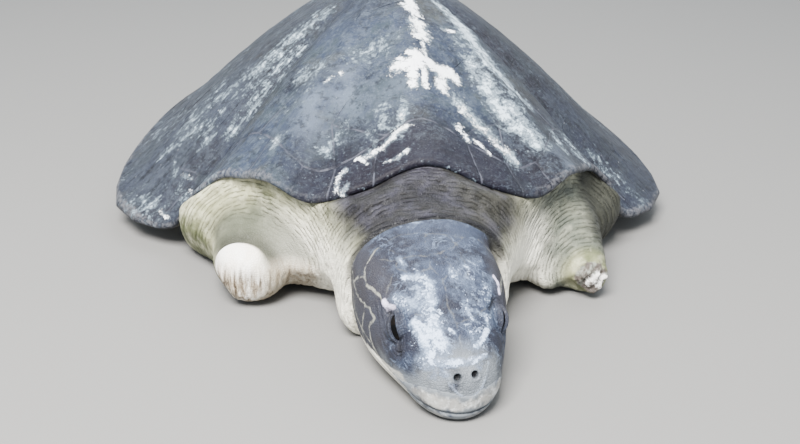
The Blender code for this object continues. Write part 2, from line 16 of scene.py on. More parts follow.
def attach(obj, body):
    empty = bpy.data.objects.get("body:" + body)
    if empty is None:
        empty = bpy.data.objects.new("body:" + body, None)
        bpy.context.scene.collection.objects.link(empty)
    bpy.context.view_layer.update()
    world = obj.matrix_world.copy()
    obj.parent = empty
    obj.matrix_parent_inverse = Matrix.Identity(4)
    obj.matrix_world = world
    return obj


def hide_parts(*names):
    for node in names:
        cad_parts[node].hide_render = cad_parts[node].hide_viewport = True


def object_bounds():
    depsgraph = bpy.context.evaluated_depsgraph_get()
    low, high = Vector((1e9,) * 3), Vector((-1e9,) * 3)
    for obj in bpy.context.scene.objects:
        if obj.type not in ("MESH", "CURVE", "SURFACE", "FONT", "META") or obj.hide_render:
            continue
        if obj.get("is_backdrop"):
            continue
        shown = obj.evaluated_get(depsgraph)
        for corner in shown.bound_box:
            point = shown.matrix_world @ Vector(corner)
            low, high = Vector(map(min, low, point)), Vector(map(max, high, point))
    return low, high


MM = 0.001
SEED = 7

# Camera
VIEW_AZIMUTH = -7.38
VIEW_ELEVATION = 21.79
VIEW_DISTANCE = 1.3333
VIEW_ROLL = 1.39
VIEW_TARGET = Vector((0, -0.1216, 0.0169))
LENS = 54

# Shell, as the solids have it
SHELL_CENTRE_Y = -0.013
CROWN_HEIGHT = 0.268
CROWN_SOFTNESS = 0.13
DOME_FALL = 1.66
DOME_FLARE = 1.28
REAR_DOME_FALL = 1.95
REAR_DOME_FLARE = 1.12
REAR_BEARINGS = (105, 165)
KEEL_HEIGHT = 0.006
KEEL_WIDTH = 0.035
# Bearing from the nose in degrees, distance of the rim from the shell's centre, height of its top
RIM = (
    (0, 0.299, 0.156),
    (12, 0.309, 0.132),
    (21, 0.307, 0.117),
    (30, 0.296, 0.127),
    (39, 0.274, 0.116),
    (48, 0.266, 0.103),
    (55, 0.276, 0.073),
    (61, 0.283, 0.036),
    (70, 0.308, 0.030),
    (79, 0.319, 0.031),
    (104, 0.306, 0.057),
    (134, 0.303, 0.088),
    (164, 0.320, 0.070),
    (180, 0.334, 0.060),
)
RIM_THICKNESS = 0.009
RIM_UNDERSIDE_RISE = 0.010
PLATE_THICKNESS = 0.009
MARGINAL_SEAMS = (9.5, 17.5, 24.5, 37, 51, 65, 79, 93, 108, 124, 141, 160, 180)
COSTAL_SEAMS = (17.5, 44, 70, 96, 127)
FIRST_VERTEBRAL_EDGE = 7.5
LAST_VERTEBRAL_EDGE = 160
BAND_SHARE = 0.82
FRONT_BAND_NARROWING = 0.08
FRONT_BAND_BEARING = 23
FRONT_BAND_WIDTH = 13
VERTEBRAL_SEAMS_Y = (-0.176, -0.086, 0.004, 0.090, 0.168)
VERTEBRAL_SEAM_HALF_WIDTH = 0.043
VERTEBRAL_CORNERS_Y = (-0.222, -0.131, -0.041, 0.047, 0.129, 0.205)
VERTEBRAL_CORNER_HALF_WIDTHS = (0.083, 0.071, 0.070, 0.066, 0.060, 0.064)
ARC_STEP = 9.0
FRONT_ARC_STEP = 4.5
FRONT_ARC_END = 66
# Bearing, distance of the plastron's edge from the shell's centre
PLASTRON = (
    (0, 0.245),
    (25, 0.232),
    (45, 0.212),
    (62, 0.222),
    (80, 0.204),
    (100, 0.200),
    (120, 0.212),
    (140, 0.222),
    (160, 0.242),
    (180, 0.252),
)
PLASTRON_TOP = 0.014
PLASTRON_EDGE_RISE = 0.006
BRIDGE_THICKNESS = 0.008
BRIDGE_BEARINGS = (65, 124)
LOWER_ARC_STEP = 8

# Relief of the plates. Within CROWN_REACH, a share of the way to the rim, the drawn dome fades
# from the rim's own height to CROWN_RIM_HEIGHT, which leaves the crown round.
CROWN_REACH = 0.35
CROWN_RIM_HEIGHT = 0.10
GRID_REACH = 0.36
PLATE_GRID = 0.0145
GRID_SNAP = 0.0045
PLATE_CUTS = 6
LOWER_CUTS = 3
LOWER_GAP = 0.0004
LOWER_SEAM_DEPTH = 0.0012
LOWER_SEAM_WIDTH = 0.003
PLASTRON_CROSS_SEAMS_Y = (-0.165, -0.085, 0.0, 0.085, 0.16)
SEAM_LIP = 0.0008
SEAM_DEPTH = 0.0008
SEAM_DRAWN_GAP = 0.0001
SEAM_WIDTH = 0.0013
RIM_ROUNDING = 0.0042
PLATE_SWELL = 0.0010
SHARP_ANGLE = 50

# Head, as the solids have it
HEAD_ORIGIN = Vector((-0.0125, -0.375, 0.0))
HEAD_YAW = 6.5
EYE_RADIUS = 0.0135
EYE_AHEAD = 0.086
EYE_OUT = 0.0388
EYE_HEIGHT = 0.0610
GAPE_CORNER_AHEAD = 0.066
GAPE_CORNER_HEIGHT = 0.030
GAPE_SLOPE = 13.5

# Skin
SKIN_VOXEL = 0.003
SKIN_GROWTH = 0.0005
SKIN_SOFTENING = 14
SKIN_TRIANGLES = 192000
HIDDEN_CUT = 0.97
FRONT_RELAXING = 4
FOLD_CENTRE = (0, 0.05, 0.03)
FOLD_SQUEEZE = (1, 0.6, 1)
UPPER_HORN_THICKNESS = 0.0007
LOWER_HORN_THICKNESS = 0.0006
FLESH = (
    "trunk",
    "neck",
    "head",
    "lower_jaw",
    "front_flipper_left",
    "front_flipper_right",
    "hind_flipper_left",
    "hind_flipper_right",
    "tail",
)
RIGHT_STUMP = Vector((-0.166, -0.288, 0.030))
KNOB = Vector((-0.178, -0.296, 0.034))
LEFT_STUMP = Vector((0.168, -0.300, 0.026))
TORN = Vector((0.173, -0.306, 0.021))
ELBOW = Vector((0.128, -0.284, 0.018))
NOTCH = Vector((0.148, -0.300, 0.006))
# Middle, reach and push of the bent skin beside the left stump
LEFT_ARM_PUSHES = (
    (ELBOW, 0.016, (-0.002, -0.013, -0.003)),
    (NOTCH, 0.013, (0.0, 0.012, 0.006)),
)
NECK_FOLD_DEPTH = 0.0012
ARM_FOLD_DEPTH = 0.0009
HOLLOW_DEPTH = 0.0035
TIP_LUMP_HEIGHT = 0.0027
RIB_DEPTH = 0.0014
STUMP_CREASE_DEPTH = 0.0020
KNOB_OVERHANG = 0.011

# Relief of the head
HEAD_CREASE_DEPTH = 0.0030
BEHIND_CREASE_HEIGHT = 0.0012
SCALE_SEAM_DEPTH = 0.00045
SCALE_SEAM_WIDTH = 0.0013
BROW_HEIGHT = 0.0009
UNDER_EYE_DEPTH = 0.0008
BEHIND_EYE_DEPTH = 0.0016
NOSE_HEIGHT = 0.0007
SNOUT_RIDGE_HEIGHT = 0.0010
MOUTH_DEPTH = 0.0011
NOSTRILS = ((-0.0058, 0.1450, 0.0418), (0.0089, 0.1440, 0.0427))
NOSTRIL_DEPTH = 0.0035
NOSTRIL_RIM_HEIGHT = 0.0006
EYE_SEGMENTS = 64
EYE_RINGS = 40


# Numbers and fields


def interpolate(table, at, column):
    """Smooth value of a column of a table from bearing 0 to 180, level at both ends."""
    rows = [(-table[1][0], *table[1][1:])] + list(table) + [(360 - table[-2][0], *table[-2][1:])]
    x = np.array([row[0] for row in rows], float)
    v = np.array([row[column] for row in rows], float)
    at = np.clip(at, 0.0, 180.0)
    i = np.clip(np.searchsorted(x, at, side="left") - 1, 1, len(rows) - 3)
    t = (at - x[i]) / (x[i + 1] - x[i])
    slope_1 = (v[i + 1] - v[i - 1]) / (x[i + 1] - x[i - 1]) * (x[i + 1] - x[i])
    slope_2 = (v[i + 2] - v[i]) / (x[i + 2] - x[i]) * (x[i + 1] - x[i])
    h = t * t * (3 - 2 * t)
    return v[i] * (1 - h) + v[i + 1] * h + slope_1 * t * (1 - t) ** 2 - slope_2 * t * t * (1 - t)


def smoothstep(low, high, value):
    t = np.clip((value - low) / (high - low), 0.0, 1.0)
    return t * t * (3 - 2 * t)


def bell(value, centre, width):
    return np.exp(-(((value - centre) / width) ** 2))


def waves(points, size, seed, count=18):
    """Smooth noise of about that wavelength, mostly between -1 and 1."""
    rng = np.random.default_rng(seed)
    directions = rng.normal(size=(count, 3))
    directions /= np.linalg.norm(directions, axis=1)[:, None]
    numbers = 2 * math.pi / size * rng.uniform(0.6, 1.5, count)
    phases = rng.uniform(0, 2 * math.pi, count)
    total = np.zeros(len(points))
    for direction, number, phase in zip(directions, numbers, phases):
        total += np.sin(points @ direction * number + phase)
    return total * math.sqrt(2 / count) * 0.6


def bearing(x, y):
    return np.degrees(np.arctan2(np.abs(x), -(y - SHELL_CENTRE_Y)))


def rim_height(degrees):
    return interpolate(RIM, degrees, 2)


def share(x, y, edge=RIM):
    """0 at the shell's centre, 1 at its rim or at the edge that another table gives."""
    return np.hypot(x, y - SHELL_CENTRE_Y) / interpolate(edge, bearing(x, y), 1)


def shell_top(x, y):
    r = np.minimum(share(x, y), 1.0)
    degrees = bearing(x, y)
    from_crown = smoothstep(0.0, CROWN_REACH, r)
    rim = from_crown * rim_height(degrees) + (1 - from_crown) * CROWN_RIM_HEIGHT
    rear = smoothstep(*REAR_BEARINGS, degrees) * from_crown
    fall = DOME_FALL + (REAR_DOME_FALL - DOME_FALL) * rear
    flare = DOME_FLARE + (REAR_DOME_FLARE - DOME_FLARE) * rear
    softened = np.sqrt((r * r + CROWN_SOFTNESS**2) / (1 + CROWN_SOFTNESS**2))
    rise = np.maximum(1 - softened**fall, 0.0) ** flare
    keel = KEEL_HEIGHT * bell(x, 0, KEEL_WIDTH) * (1 - r * r)
    return rim + (CROWN_HEIGHT - rim) * rise + keel


def band_share(degrees):
    """Where the marginals meet the costals, as a share of the way to the rim."""
    return BAND_SHARE + FRONT_BAND_NARROWING * bell(degrees, FRONT_BAND_BEARING, FRONT_BAND_WIDTH)


def rim_under(x, y):
    inward = np.maximum(1 - share(x, y), 0.0) / (1 - BAND_SHARE)
    return rim_height(bearing(x, y)) - RIM_THICKNESS + RIM_UNDERSIDE_RISE * inward


def plate_under(x, y):
    return shell_top(x, y) - PLATE_THICKNESS


def at_distance(degrees, distance):
    """Point in plan at a bearing from the shell's centre, on the left for positive degrees."""
    angle = math.radians(degrees)
    return (distance * math.sin(angle), SHELL_CENTRE_Y - distance * math.cos(angle))


def rim_point(degrees, portion=1.0):
    """Point in plan at that portion of the way to the rim."""
    return at_distance(degrees, float(interpolate(RIM, abs(degrees), 1)) * portion)


def band_point(degrees):
    return rim_point(degrees, float(band_share(abs(degrees))))


def plastron_point(degrees):
    return at_distance(degrees, float(interpolate(PLASTRON, abs(degrees), 1)))


def arc_stops():
    """Bearings of the points along the rim and the marginals' inner edge, on one side."""
    stops = {0.0, FIRST_VERTEBRAL_EDGE, *MARGINAL_SEAMS, *COSTAL_SEAMS, LAST_VERTEBRAL_EDGE}
    ordered = sorted(stops)
    for low, high in zip(ordered, ordered[1:]):
        step = FRONT_ARC_STEP if high < FRONT_ARC_END else ARC_STEP
        pieces = math.ceil((high - low) / step)
        stops.update(low + (high - low) * k / pieces for k in range(1, pieces))
    return sorted(stops)


def stops_between(low, high):
    return [b for b in arc_stops() if low - 1e-6 <= b <= high + 1e-6]


def arc(start, end, place):
    """Points of an arc from bearing start to bearing end, either way round."""
    found = stops_between(*sorted((start, end)))
    return [place(b) for b in (found if start < end else found[::-1])]


def mirrored(points):
    return [(-x, y) for x, y in points][::-1]


def whole(half):
    """The outline whose left half this is, from the middle line round to the middle line."""
    return half + [p for p in mirrored(half) if abs(p[0]) > 1e-9]


def vertebral_corners():
    """On the left, the ends of the seams across the vertebrals, and the vertebrals' own corners."""
    ends = [(VERTEBRAL_SEAM_HALF_WIDTH, y) for y in VERTEBRAL_SEAMS_Y]
    return ends, list(zip(VERTEBRAL_CORNER_HALF_WIDTHS, VERTEBRAL_CORNERS_Y))


def vertebral_outlines():
    ends, corners = vertebral_corners()
    front = arc(0, FIRST_VERTEBRAL_EDGE, band_point)
    back = arc(LAST_VERTEBRAL_EDGE, 180, band_point)
    outlines = []
    for k, corner in enumerate(corners):
        half = (front if k == 0 else [(0, VERTEBRAL_SEAMS_Y[k - 1]), ends[k - 1]]) + [corner]
        half += back if k == len(corners) - 1 else [ends[k], (0, VERTEBRAL_SEAMS_Y[k])]
        outlines.append(whole(half))
    return outlines


def costal_outlines():
    ends, corners = vertebral_corners()
    outlines = [arc(FIRST_VERTEBRAL_EDGE, COSTAL_SEAMS[0], band_point) + [corners[0]]]
    for k in range(1, len(COSTAL_SEAMS)):
        medial = [corners[k], ends[k - 1], corners[k - 1]]
        outlines.append(arc(COSTAL_SEAMS[k - 1], COSTAL_SEAMS[k], band_point) + medial)
    last = arc(COSTAL_SEAMS[-1], LAST_VERTEBRAL_EDGE, band_point)
    outlines.append(last + [corners[-1], ends[-1], corners[-2]])
    return outlines


def marginal_outlines():
    return [
        arc(low, high, band_point) + arc(high, low, rim_point)
        for low, high in zip(MARGINAL_SEAMS, MARGINAL_SEAMS[1:])
    ]


def carapace_outlines():
    """Name to outline in plan of every plate of the upper shell."""
    edge = MARGINAL_SEAMS[0]
    plates = {"nuchal": whole(arc(0, edge, band_point) + arc(edge, 0, rim_point))}
    for k, outline in enumerate(vertebral_outlines(), 1):
        plates[f"vertebral_{k}"] = outline
    for kind, outlines in (("costal", costal_outlines()), ("marginal", marginal_outlines())):
        for k, outline in enumerate(outlines, 1):
            plates[f"{kind}_left_{k}"] = outline
            plates[f"{kind}_right_{k}"] = mirrored(outline)
    return plates


def lower_outlines():
    low, high = BRIDGE_BEARINGS
    stops = stops_between(low, high)
    front = range(0, low, LOWER_ARC_STEP)
    rear = range(high + LOWER_ARC_STEP, 180, LOWER_ARC_STEP)
    edge = [plastron_point(b) for b in (*front, *stops, *rear, 180)]
    inner = [plastron_point(b) for b in stops]
    outer = [rim_point(b, BAND_SHARE - 0.004) for b in stops]
    bridge = outer + inner[::-1]
    return {"plastron": whole(edge), "bridge_left": bridge, "bridge_right": mirrored(bridge)}


def lower_bottom(x, y):
    """Underside of the plastron, flat but for its edge, and of the bridges that climb from it."""
    within = share(x, y, PLASTRON)
    degrees = bearing(x, y)
    inner = interpolate(PLASTRON, degrees, 1)
    outer = interpolate(RIM, degrees, 1) * BAND_SHARE
    distance = np.hypot(x, y - SHELL_CENTRE_Y)
    climb = np.clip((distance - inner) / (outer - inner), 0.0, 1.0)
    top = rim_height(degrees) - RIM_THICKNESS + RIM_UNDERSIDE_RISE
    bridge = PLASTRON_EDGE_RISE + (top - PLASTRON_EDGE_RISE) * climb**1.2
    return np.where(within <= 1.0001, PLASTRON_EDGE_RISE * smoothstep(0.86, 1.0, within), bridge)


def lower_top(x, y):
    bridge = np.maximum(lower_bottom(x, y) + BRIDGE_THICKNESS, PLASTRON_TOP)
    return np.where(share(x, y, PLASTRON) <= 1.0001, PLASTRON_TOP, bridge)


# Meshes


def sheet_of(outlines):
    """A flat mesh of all the outlines, sharing their edges, cut by a grid and into triangles."""
    bm = bmesh.new()
    layer = bm.faces.layers.int.new("plate")
    corners = {}
    for number, outline in enumerate(outlines.values()):
        loop = []
        for x, y in outline:
            key = (round(x, 6), round(y, 6))
            if key not in corners:
                corners[key] = bm.verts.new((x, y, 0))
            loop.append(corners[key])
        bm.faces.new(loop)[layer] = number
    for face in bm.faces:
        face.normal_update()
        if face.normal.z < 0:
            face.normal_flip()
    count = int(GRID_REACH / PLATE_GRID)
    for k in range(-count, count + 1):
        for normal in (Vector((1, 0, 0)), Vector((0, 1, 0))):
            bmesh.ops.bisect_plane(
                bm,
                geom=bm.verts[:] + bm.edges[:] + bm.faces[:],
                dist=GRID_SNAP,
                plane_co=normal * k * PLATE_GRID,
                plane_no=normal,
            )
    bmesh.ops.triangulate(bm, faces=bm.faces[:])
    return bm


def add_object(name, data):
    obj = bpy.data.objects.new(name, data)
    bpy.context.scene.collection.objects.link(obj)
    return obj


def link(name, bm, finish, smooth=True):
    """A new mesh object of that finish; bm is freed."""
    mesh = bpy.data.meshes.new(name)
    bm.to_mesh(mesh)
    bm.free()
    mesh.polygons.foreach_set("use_smooth", [smooth] * len(mesh.polygons))
    mesh.materials.append(finish)
    return add_object(name, mesh)


def evaluated(obj, name):
    """A new mesh object with the modifiers of obj applied; obj is removed."""
    graph = bpy.context.evaluated_depsgraph_get()
    mesh = bpy.data.meshes.new_from_object(obj.evaluated_get(graph))
    bpy.data.objects.remove(obj)
    return add_object(name, mesh)


def vectors(items, key):
    found = np.empty(len(items) * 3, np.float32)
    items.foreach_get(key, found)
    return found.reshape(-1, 3).astype(float)


def coordinates(mesh):
    return vectors(mesh.vertices, "co")


def set_coordinates(mesh, points):
    mesh.vertices.foreach_set("co", np.ascontiguousarray(points, np.float32).ravel())
    mesh.update()


def paint(mesh, paints):
    """Stores one number a vertex under each name, which the materials read."""
    for name, values in paints.items():
        layer = mesh.attributes.new(name, "FLOAT", "POINT")
        layer.data.foreach_set("value", np.ascontiguousarray(values, np.float32))


def relax(bm, verts):
    axes = dict(use_axis_x=True, use_axis_y=True, use_axis_z=True)
    bmesh.ops.smooth_vert(bm, verts=verts, factor=0.5, **axes)


def stand_for(obj, slot, *nodes):
    """The piece takes the place of these nodes and rides on the root. Its slot is not used."""
    if nodes:
        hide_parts(*nodes)
    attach(obj, "root")


def from_segment(points, start, end):
    """Distance of each point from a segment."""
    along = end - start
    t = np.clip(((points - start) @ along) / max(along @ along, 1e-12), 0, 1)
    return np.linalg.norm(points - start - t[:, None] * along, axis=1)


def distance_to(points, segments):
    """Distance of each point from the nearest of the segments, 1 where there are none."""
    nearest = np.full(len(points), 1.0)
    for start, end in segments:
        nearest = np.minimum(nearest, from_segment(points, np.array(start), np.array(end)))
    return nearest


def strokes(points, rows):
    """Soft strokes: the most that any gives each point, 1 in its middle, about half at its edge.

    A row holds a start and an end, of as many coordinates as a point has, a half width and a
    strength. Its lengths are in millimetres.
    """
    total = np.zeros(len(points))
    size = points.shape[1]
    for row in rows:
        start = MM * np.array(row[:size], float)
        end = MM * np.array(row[size : 2 * size], float)
        d = from_segment(points, start, end) / (MM * row[-2])
        total = np.maximum(total, row[-1] * np.exp(-0.65 * d * d))
    return total


# Shell


# Strokes in plan in millimetres: start x and y, end x and y, half width, strength
CHALK_STROKES = (
    (9, -82, 13, -108, 7, 1.1),
    (3, -92, 6, -104, 5, 1.0),
    (10, -112, 13, -128, 3, 0.9),
    (12, -127, 15, -146, 9, 1.1),
    (13, -146, 15, -170, 3, 0.9),
    (-14, -190, 18, -186, 9, 1.15),
    (4, -176, 16, -182, 8, 1.1),
    (-12, -180, -4, -190, 4, 1.0),
    (0, -196, -2, -216, 6, 1.1),
    (11, -200, 9, -219, 4, 1.0),
    (20, -186, 40, -186, 9, 1.15),
    (29, -192, 27, -212, 7, 1.12),
    (42, -183, 46, -193, 4, 1.0),
    (-64, -278, -54, -281, 3, 0.85),
    (-54, -281, -38, -279, 3.5, 0.95),
    (-38, -279, -24, -270, 4, 0.95),
    (-24, -270, -16, -266, 4.5, 1.0),
    (-39, -299, -29, -301, 2, 0.85),
    (-27, -301, -17, -295, 2.5, 0.9),
    (-60, -281, -54, -290, 2, 0.8),
    (-84, -306, -82, -292, 3.5, 0.72),
    (-82, -290, -74, -285, 4, 0.76),
    (-79, -312, -73, -305, 3.5, 0.76),
    (-70, -166, -70, -169, 3, 0.8),
    (-86, -175, -79, -169, 2.5, 0.85),
    (-18, -252, -18, -256, 3, 0.8),
    (44, -228, 58, -241, 7, 0.70),
    (62, -243, 88, -260, 8, 0.69),
    (38, -256, 44, -266, 5, 0.85),
    (52, -263, 66, -273, 2.5, 0.8),
    (41, -117, 53, -116, 3, 0.8),
    (-239, -105, -226, -116, 2, 0.7),
    (-228, -126, -216, -160, 2.5, 0.75),
    (-261, -126, -252, -140, 2.5, 0.75),
)
FLAKE_STROKES = (
    (48, -60, 64, -88, 13, 1.05),
    (64, -88, 77, -122, 17, 1.15),
    (77, -122, 91, -146, 18, 1.12),
    (91, -146, 106, -158, 15, 1.05),
    (106, -158, 122, -168, 12, 1.00),
    (60, -120, 70, -165, 16, 0.72),
    (76, -176, 90, -208, 15, 1.00),
    (90, -208, 118, -238, 16, 0.98),
    (100, -160, 108, -200, 13, 0.70),
    (43, -222, 60, -240, 10, 0.92),
    (60, -240, 88, -262, 12, 0.90),
    (150, -190, 156, -214, 10, 0.80),
    (150, -110, 190, -125, 14, 0.62),
    (160, -160, 178, -200, 14, 0.66),
    (218, -104, 251, -110, 9, 0.60),
    (251, -110, 283, -125, 10, 0.62),
    (235, -135, 222, -170, 9, 0.58),
    (-149, -84, -129, -74, 16, 0.72),
    (-110, -129, -90, -146, 14, 0.75),
    (-86, -251, -71, -228, 13, 0.76),
    (-50, -276, -33, -237, 13, 0.72),
    (-60, -155, -27, -149, 22, 0.68),
    (-27, -276, -15, -240, 11, 0.70),
    (-80, -140, -120, -170, 22, 0.56),
    (-137, -212, -138, -222, 7, 0.85),
    (-77, -34, -162, -48, 14, 0.66),
    (-162, -48, -242, -34, 14, 0.58),
    (-107, -64, -184, -96, 11, 0.68),
    (-130, -58, -215, -78, 10, 0.62),
    (-187, -101, -152, -94, 5, 0.86),
    (-255, -51, -218, -65, 9, 0.68),
    (-247, -78, -244, -99, 4, 0.74),
    (-217, -92, -204, -89, 6, 0.70),
    (-290, -92, -262, -130, 14, 0.52),
    (-240, -118, -205, -185, 9, 0.58),
    (50, 90, 150, 120, 70, 0.45),
    (-60, 70, -190, 80, 80, 0.43),
    (190, -20, 255, 30, 30, 0.52),
    (-210, -10, -262, 50, 40, 0.48),
    (-70, 200, 10, 240, 70, 0.43),
    (130, 200, 190, 120, 22, 0.52),
    (-120, 170, -90, 215, 18, 0.52),
    (20, 110, 36, 190, 14, 0.50),
)
# Painted reflections of the sky on the wet horn: soft pale patches, given as strokes in plan
REFLECTION_STROKES = (
    (-63, -172, -66, -212, 17, 0.9),
    (-101, -190, -104, -226, 14, 0.9),
    (-116, -222, -116, -240, 9, 0.6),
    (-20, -222, -30, -250, 18, 0.45),
    (-200, -60, -270, -70, 30, 0.45),
    (148, -233, 150, -255, 8, 1.0),
)


def on_rim(point):
    return share(*point) > 0.9995


def outline_parts(outline):
    """The segments of an outline that are seams, and those that are the rim."""
    segments = list(zip(outline, outline[1:] + outline[:1]))
    rim = [s for s in segments if on_rim(s[0]) and on_rim(s[1])]
    return [s for s in segments if s not in rim], rim


def cut_plate(sheet, number, gap, cuts, lip=0.0):
    """A plate in two flat layers: its mesh, which vertices are above, and their places in plan."""
    bm = sheet.copy()
    layer = bm.faces.layers.int["plate"]
    bmesh.ops.delete(bm, geom=[f for f in bm.faces if f[layer] != number], context="FACES")
    border = dict(use_boundary=True, use_even_offset=True)
    ring = bmesh.ops.inset_region(bm, faces=bm.faces[:], thickness=gap / 2, **border)
    bmesh.ops.delete(bm, geom=ring["faces"], context="FACES")
    bmesh.ops.subdivide_edges(bm, edges=bm.edges[:], cuts=cuts, use_grid_fill=True)
    if lip:
        bmesh.ops.inset_region(bm, faces=bm.faces[:], thickness=lip, **border)
    raised = bmesh.ops.extrude_face_region(bm, geom=bm.faces[:])["geom"]
    upper = {v for v in raised if isinstance(v, bmesh.types.BMVert)}
    is_upper = np.array([v in upper for v in bm.verts])
    return bm, is_upper, np.array([v.co.xy for v in bm.verts])


def raise_plate(name, bm, is_upper, top, bottom, finish):
    """Moves the two layers to their heights, and makes the piece."""
    for v, is_top, high, low in zip(bm.verts, is_upper, top, bottom):
        v.co.z = high if is_top else low
    bmesh.ops.recalc_face_normals(bm, faces=bm.faces[:])
    return link(name, bm, finish)


def near_front_edge(degrees, to_rim):
    return smoothstep(80, 55, degrees) * smoothstep(0.62, 0.80, to_rim)


def plate_heights(plan, number, from_seam, from_rim, is_outer):
    """Top and bottom of a plate, domed a little, worn into its seams and rounded at the rim."""
    x, y = plan.T
    degrees = bearing(x, y)
    inside = np.minimum(from_rim / RIM_ROUNDING, 1)
    rounding = RIM_ROUNDING * (1 - np.sqrt(np.maximum(1 - (1 - inside) ** 2, 0)))
    flat = np.stack([x, y, np.full(len(x), number * 0.37)], axis=1)
    swell = PLATE_SWELL * smoothstep(0, 0.03, from_seam) * (1 - smoothstep(0.03, 0, from_rim))
    rough = 0.0005 * waves(flat, 0.045, SEED) + 0.00025 * waves(flat, 0.012, SEED + 1)
    near_edge = near_front_edge(degrees, share(x, y))
    clear = 0.2 + 0.8 * np.maximum(near_edge, 0.7 * smoothstep(70, 105, degrees))
    groove = SEAM_DEPTH * clear * np.exp(-((from_seam / SEAM_WIDTH) ** 1.5))
    top = shell_top(x, y) + swell + rough * smoothstep(0, 0.01, from_rim) - groove - rounding
    bottom = (rim_under(x, y) + rounding) if is_outer else plate_under(x, y)
    return top, bottom


def plate_paints(plan, is_upper, from_seam, from_rim):
    """What the finish of the shell reads."""
    x, y = plan.T
    degrees = bearing(x, y)
    to_rim = share(x, y)
    crown = smoothstep(0.34, 0.04, to_rim)
    grain = smoothstep(36, 58, degrees)
    # Painted shade on the left slope, which faces away from the light
    left_slope = smoothstep(26, 38, degrees) * smoothstep(0.0, 0.05, x)
    left_slope = left_slope * smoothstep(0.55, 0.75, to_rim)
    side_dark_and_shade = smoothstep(42, 60, degrees) * (0.8 + 0.2 * smoothstep(-0.03, 0.08, x))
    side_dark_and_shade = side_dark_and_shade + crown * (0.5 - side_dark_and_shade)
    return {
        "seam": from_seam,
        "rim": from_rim,
        "chalk": strokes(plan, CHALK_STROKES),
        "flakes": strokes(plan, FLAKE_STROKES),
        # Painted reflection of the sky on the wet horn
        "painted_reflection": strokes(plan, REFLECTION_STROKES),
        "under": (1.0 - is_upper) * smoothstep(0.002, 0.006, from_rim),
        # Purple horn along the front rim, with painted shade under the rim's arch
        "front": smoothstep(36, 14, degrees) * smoothstep(0.68, 0.90, to_rim),
        "grain": grain + crown * (0.5 - grain),
        # Darker at the sides, and painted shade on the left slope
        "side_dark_and_shade": np.maximum(side_dark_and_shade, left_slope),
        "near_edge": near_front_edge(degrees, to_rim),
    }


def plate_piece(node, sheet, number, outline, finish):
    bm, is_upper, plan = cut_plate(sheet, number, SEAM_DRAWN_GAP, PLATE_CUTS, SEAM_LIP)
    seams, rim = outline_parts(outline)
    from_seam = distance_to(plan, seams)
    from_rim = distance_to(plan, rim)
    is_outer = node.startswith(("nuchal", "marginal"))
    top, bottom = plate_heights(plan, number, from_seam, from_rim, is_outer)
    obj = raise_plate(f"{node}_horn", bm, is_upper, top, bottom, finish)
    obj.data.set_sharp_from_angle(angle=math.radians(SHARP_ANGLE))
    paint(obj.data, plate_paints(plan, is_upper, from_seam, from_rim))
    stand_for(obj, "shell", node)


def carapace(finish):
    outlines = carapace_outlines()
    sheet = sheet_of(outlines)
    for number, (node, outline) in enumerate(outlines.items()):
        plate_piece(node, sheet, number, outline, finish)
    sheet.free()


def plastron_grooves(x, y):
    """Distance of each point from the seams between the plates of the plastron."""
    across = [np.abs(y - at - 0.05 * np.abs(x)) for at in PLASTRON_CROSS_SEAMS_Y]
    middle = np.abs(x + 0.004 * np.sin(y * 40))
    side = np.abs(np.abs(x) - 0.118 - 0.01 * np.cos(y * 18))
    side = np.where(np.abs(y) < 0.13, side, 1.0)
    return np.minimum.reduce([*across, middle, side])


def bridge_grooves(y):
    """Distance of each point from the seams across a bridge."""
    return np.abs(np.abs(y - SHELL_CENTRE_Y) - 0.05)


def lower_piece(node, sheet, number, finish):
    bm, is_upper, plan = cut_plate(sheet, number, LOWER_GAP, LOWER_CUTS)
    x, y = plan.T
    from_seam = plastron_grooves(x, y) if node == "plastron" else bridge_grooves(y)
    groove = LOWER_SEAM_DEPTH * np.exp(-((from_seam / LOWER_SEAM_WIDTH) ** 2))
    bottom = lower_bottom(x, y) + groove
    obj = raise_plate(f"{node}_horn", bm, is_upper, lower_top(x, y), bottom, finish)
    paint(obj.data, {"seam": from_seam})
    stand_for(obj, "plastron", node)


def lower_shell(finish):
    outlines = lower_outlines()
    sheet = sheet_of(outlines)
    for number, node in enumerate(outlines):
        lower_piece(node, sheet, number, finish)
    sheet.free()


# Skin


def head_place():
    return Matrix.Translation(HEAD_ORIGIN) @ Matrix.Rotation(math.radians(HEAD_YAW), 4, "Z")


def in_head(points):
    """Each point's distance to the head's left, ahead of the crease behind it, and up."""
    inverse = np.array(head_place().inverted())
    local = points @ inverse[:3, :3].T + inverse[:3, 3]
    return local[:, 0], -local[:, 1], local[:, 2]


def head_direction(out, ahead, up):
    turned = head_place().to_3x3() @ Vector((out, -ahead, up))
    return np.array(turned.normalized())


def head_point(out, ahead, up):
    return np.array(head_place() @ Vector((out, -ahead, up)))


def away(points, centre):
    return np.linalg.norm(points - np.array(centre), axis=1)


def grown(source):
    """A copy of a mesh, a little larger all round."""
    bm = bmesh.new()
    bm.from_mesh(source)
    bmesh.ops.remove_doubles(bm, verts=bm.verts[:], dist=1e-5)
    bm.normal_update()
    for v in bm.verts:
        v.co += v.normal * SKIN_GROWTH
    mesh = bpy.data.meshes.new("grown")
    bm.to_mesh(mesh)
    bm.free()
    return mesh


def skin_blank(nodes):
    """All the flesh, the eyes' room included, merged into one even skin."""
    bm = bmesh.new()
    for name in FLESH + ("upper_beak", "eye_left", "eye_right"):
        part = grown(nodes[name].data)
        bm.from_mesh(part)
        bpy.data.meshes.remove(part)
    mesh = bpy.data.meshes.new("skin")
    bm.to_mesh(mesh)
    bm.free()
    obj = add_object("skin", mesh)
    blend = obj.modifiers.new("blend", "REMESH")
    blend.mode = "VOXEL"
    blend.voxel_size = SKIN_VOXEL
    soften = obj.modifiers.new("soften", "SMOOTH")
    soften.factor = 0.5
    soften.iterations = SKIN_SOFTENING
    return evaluated(obj, "skin")


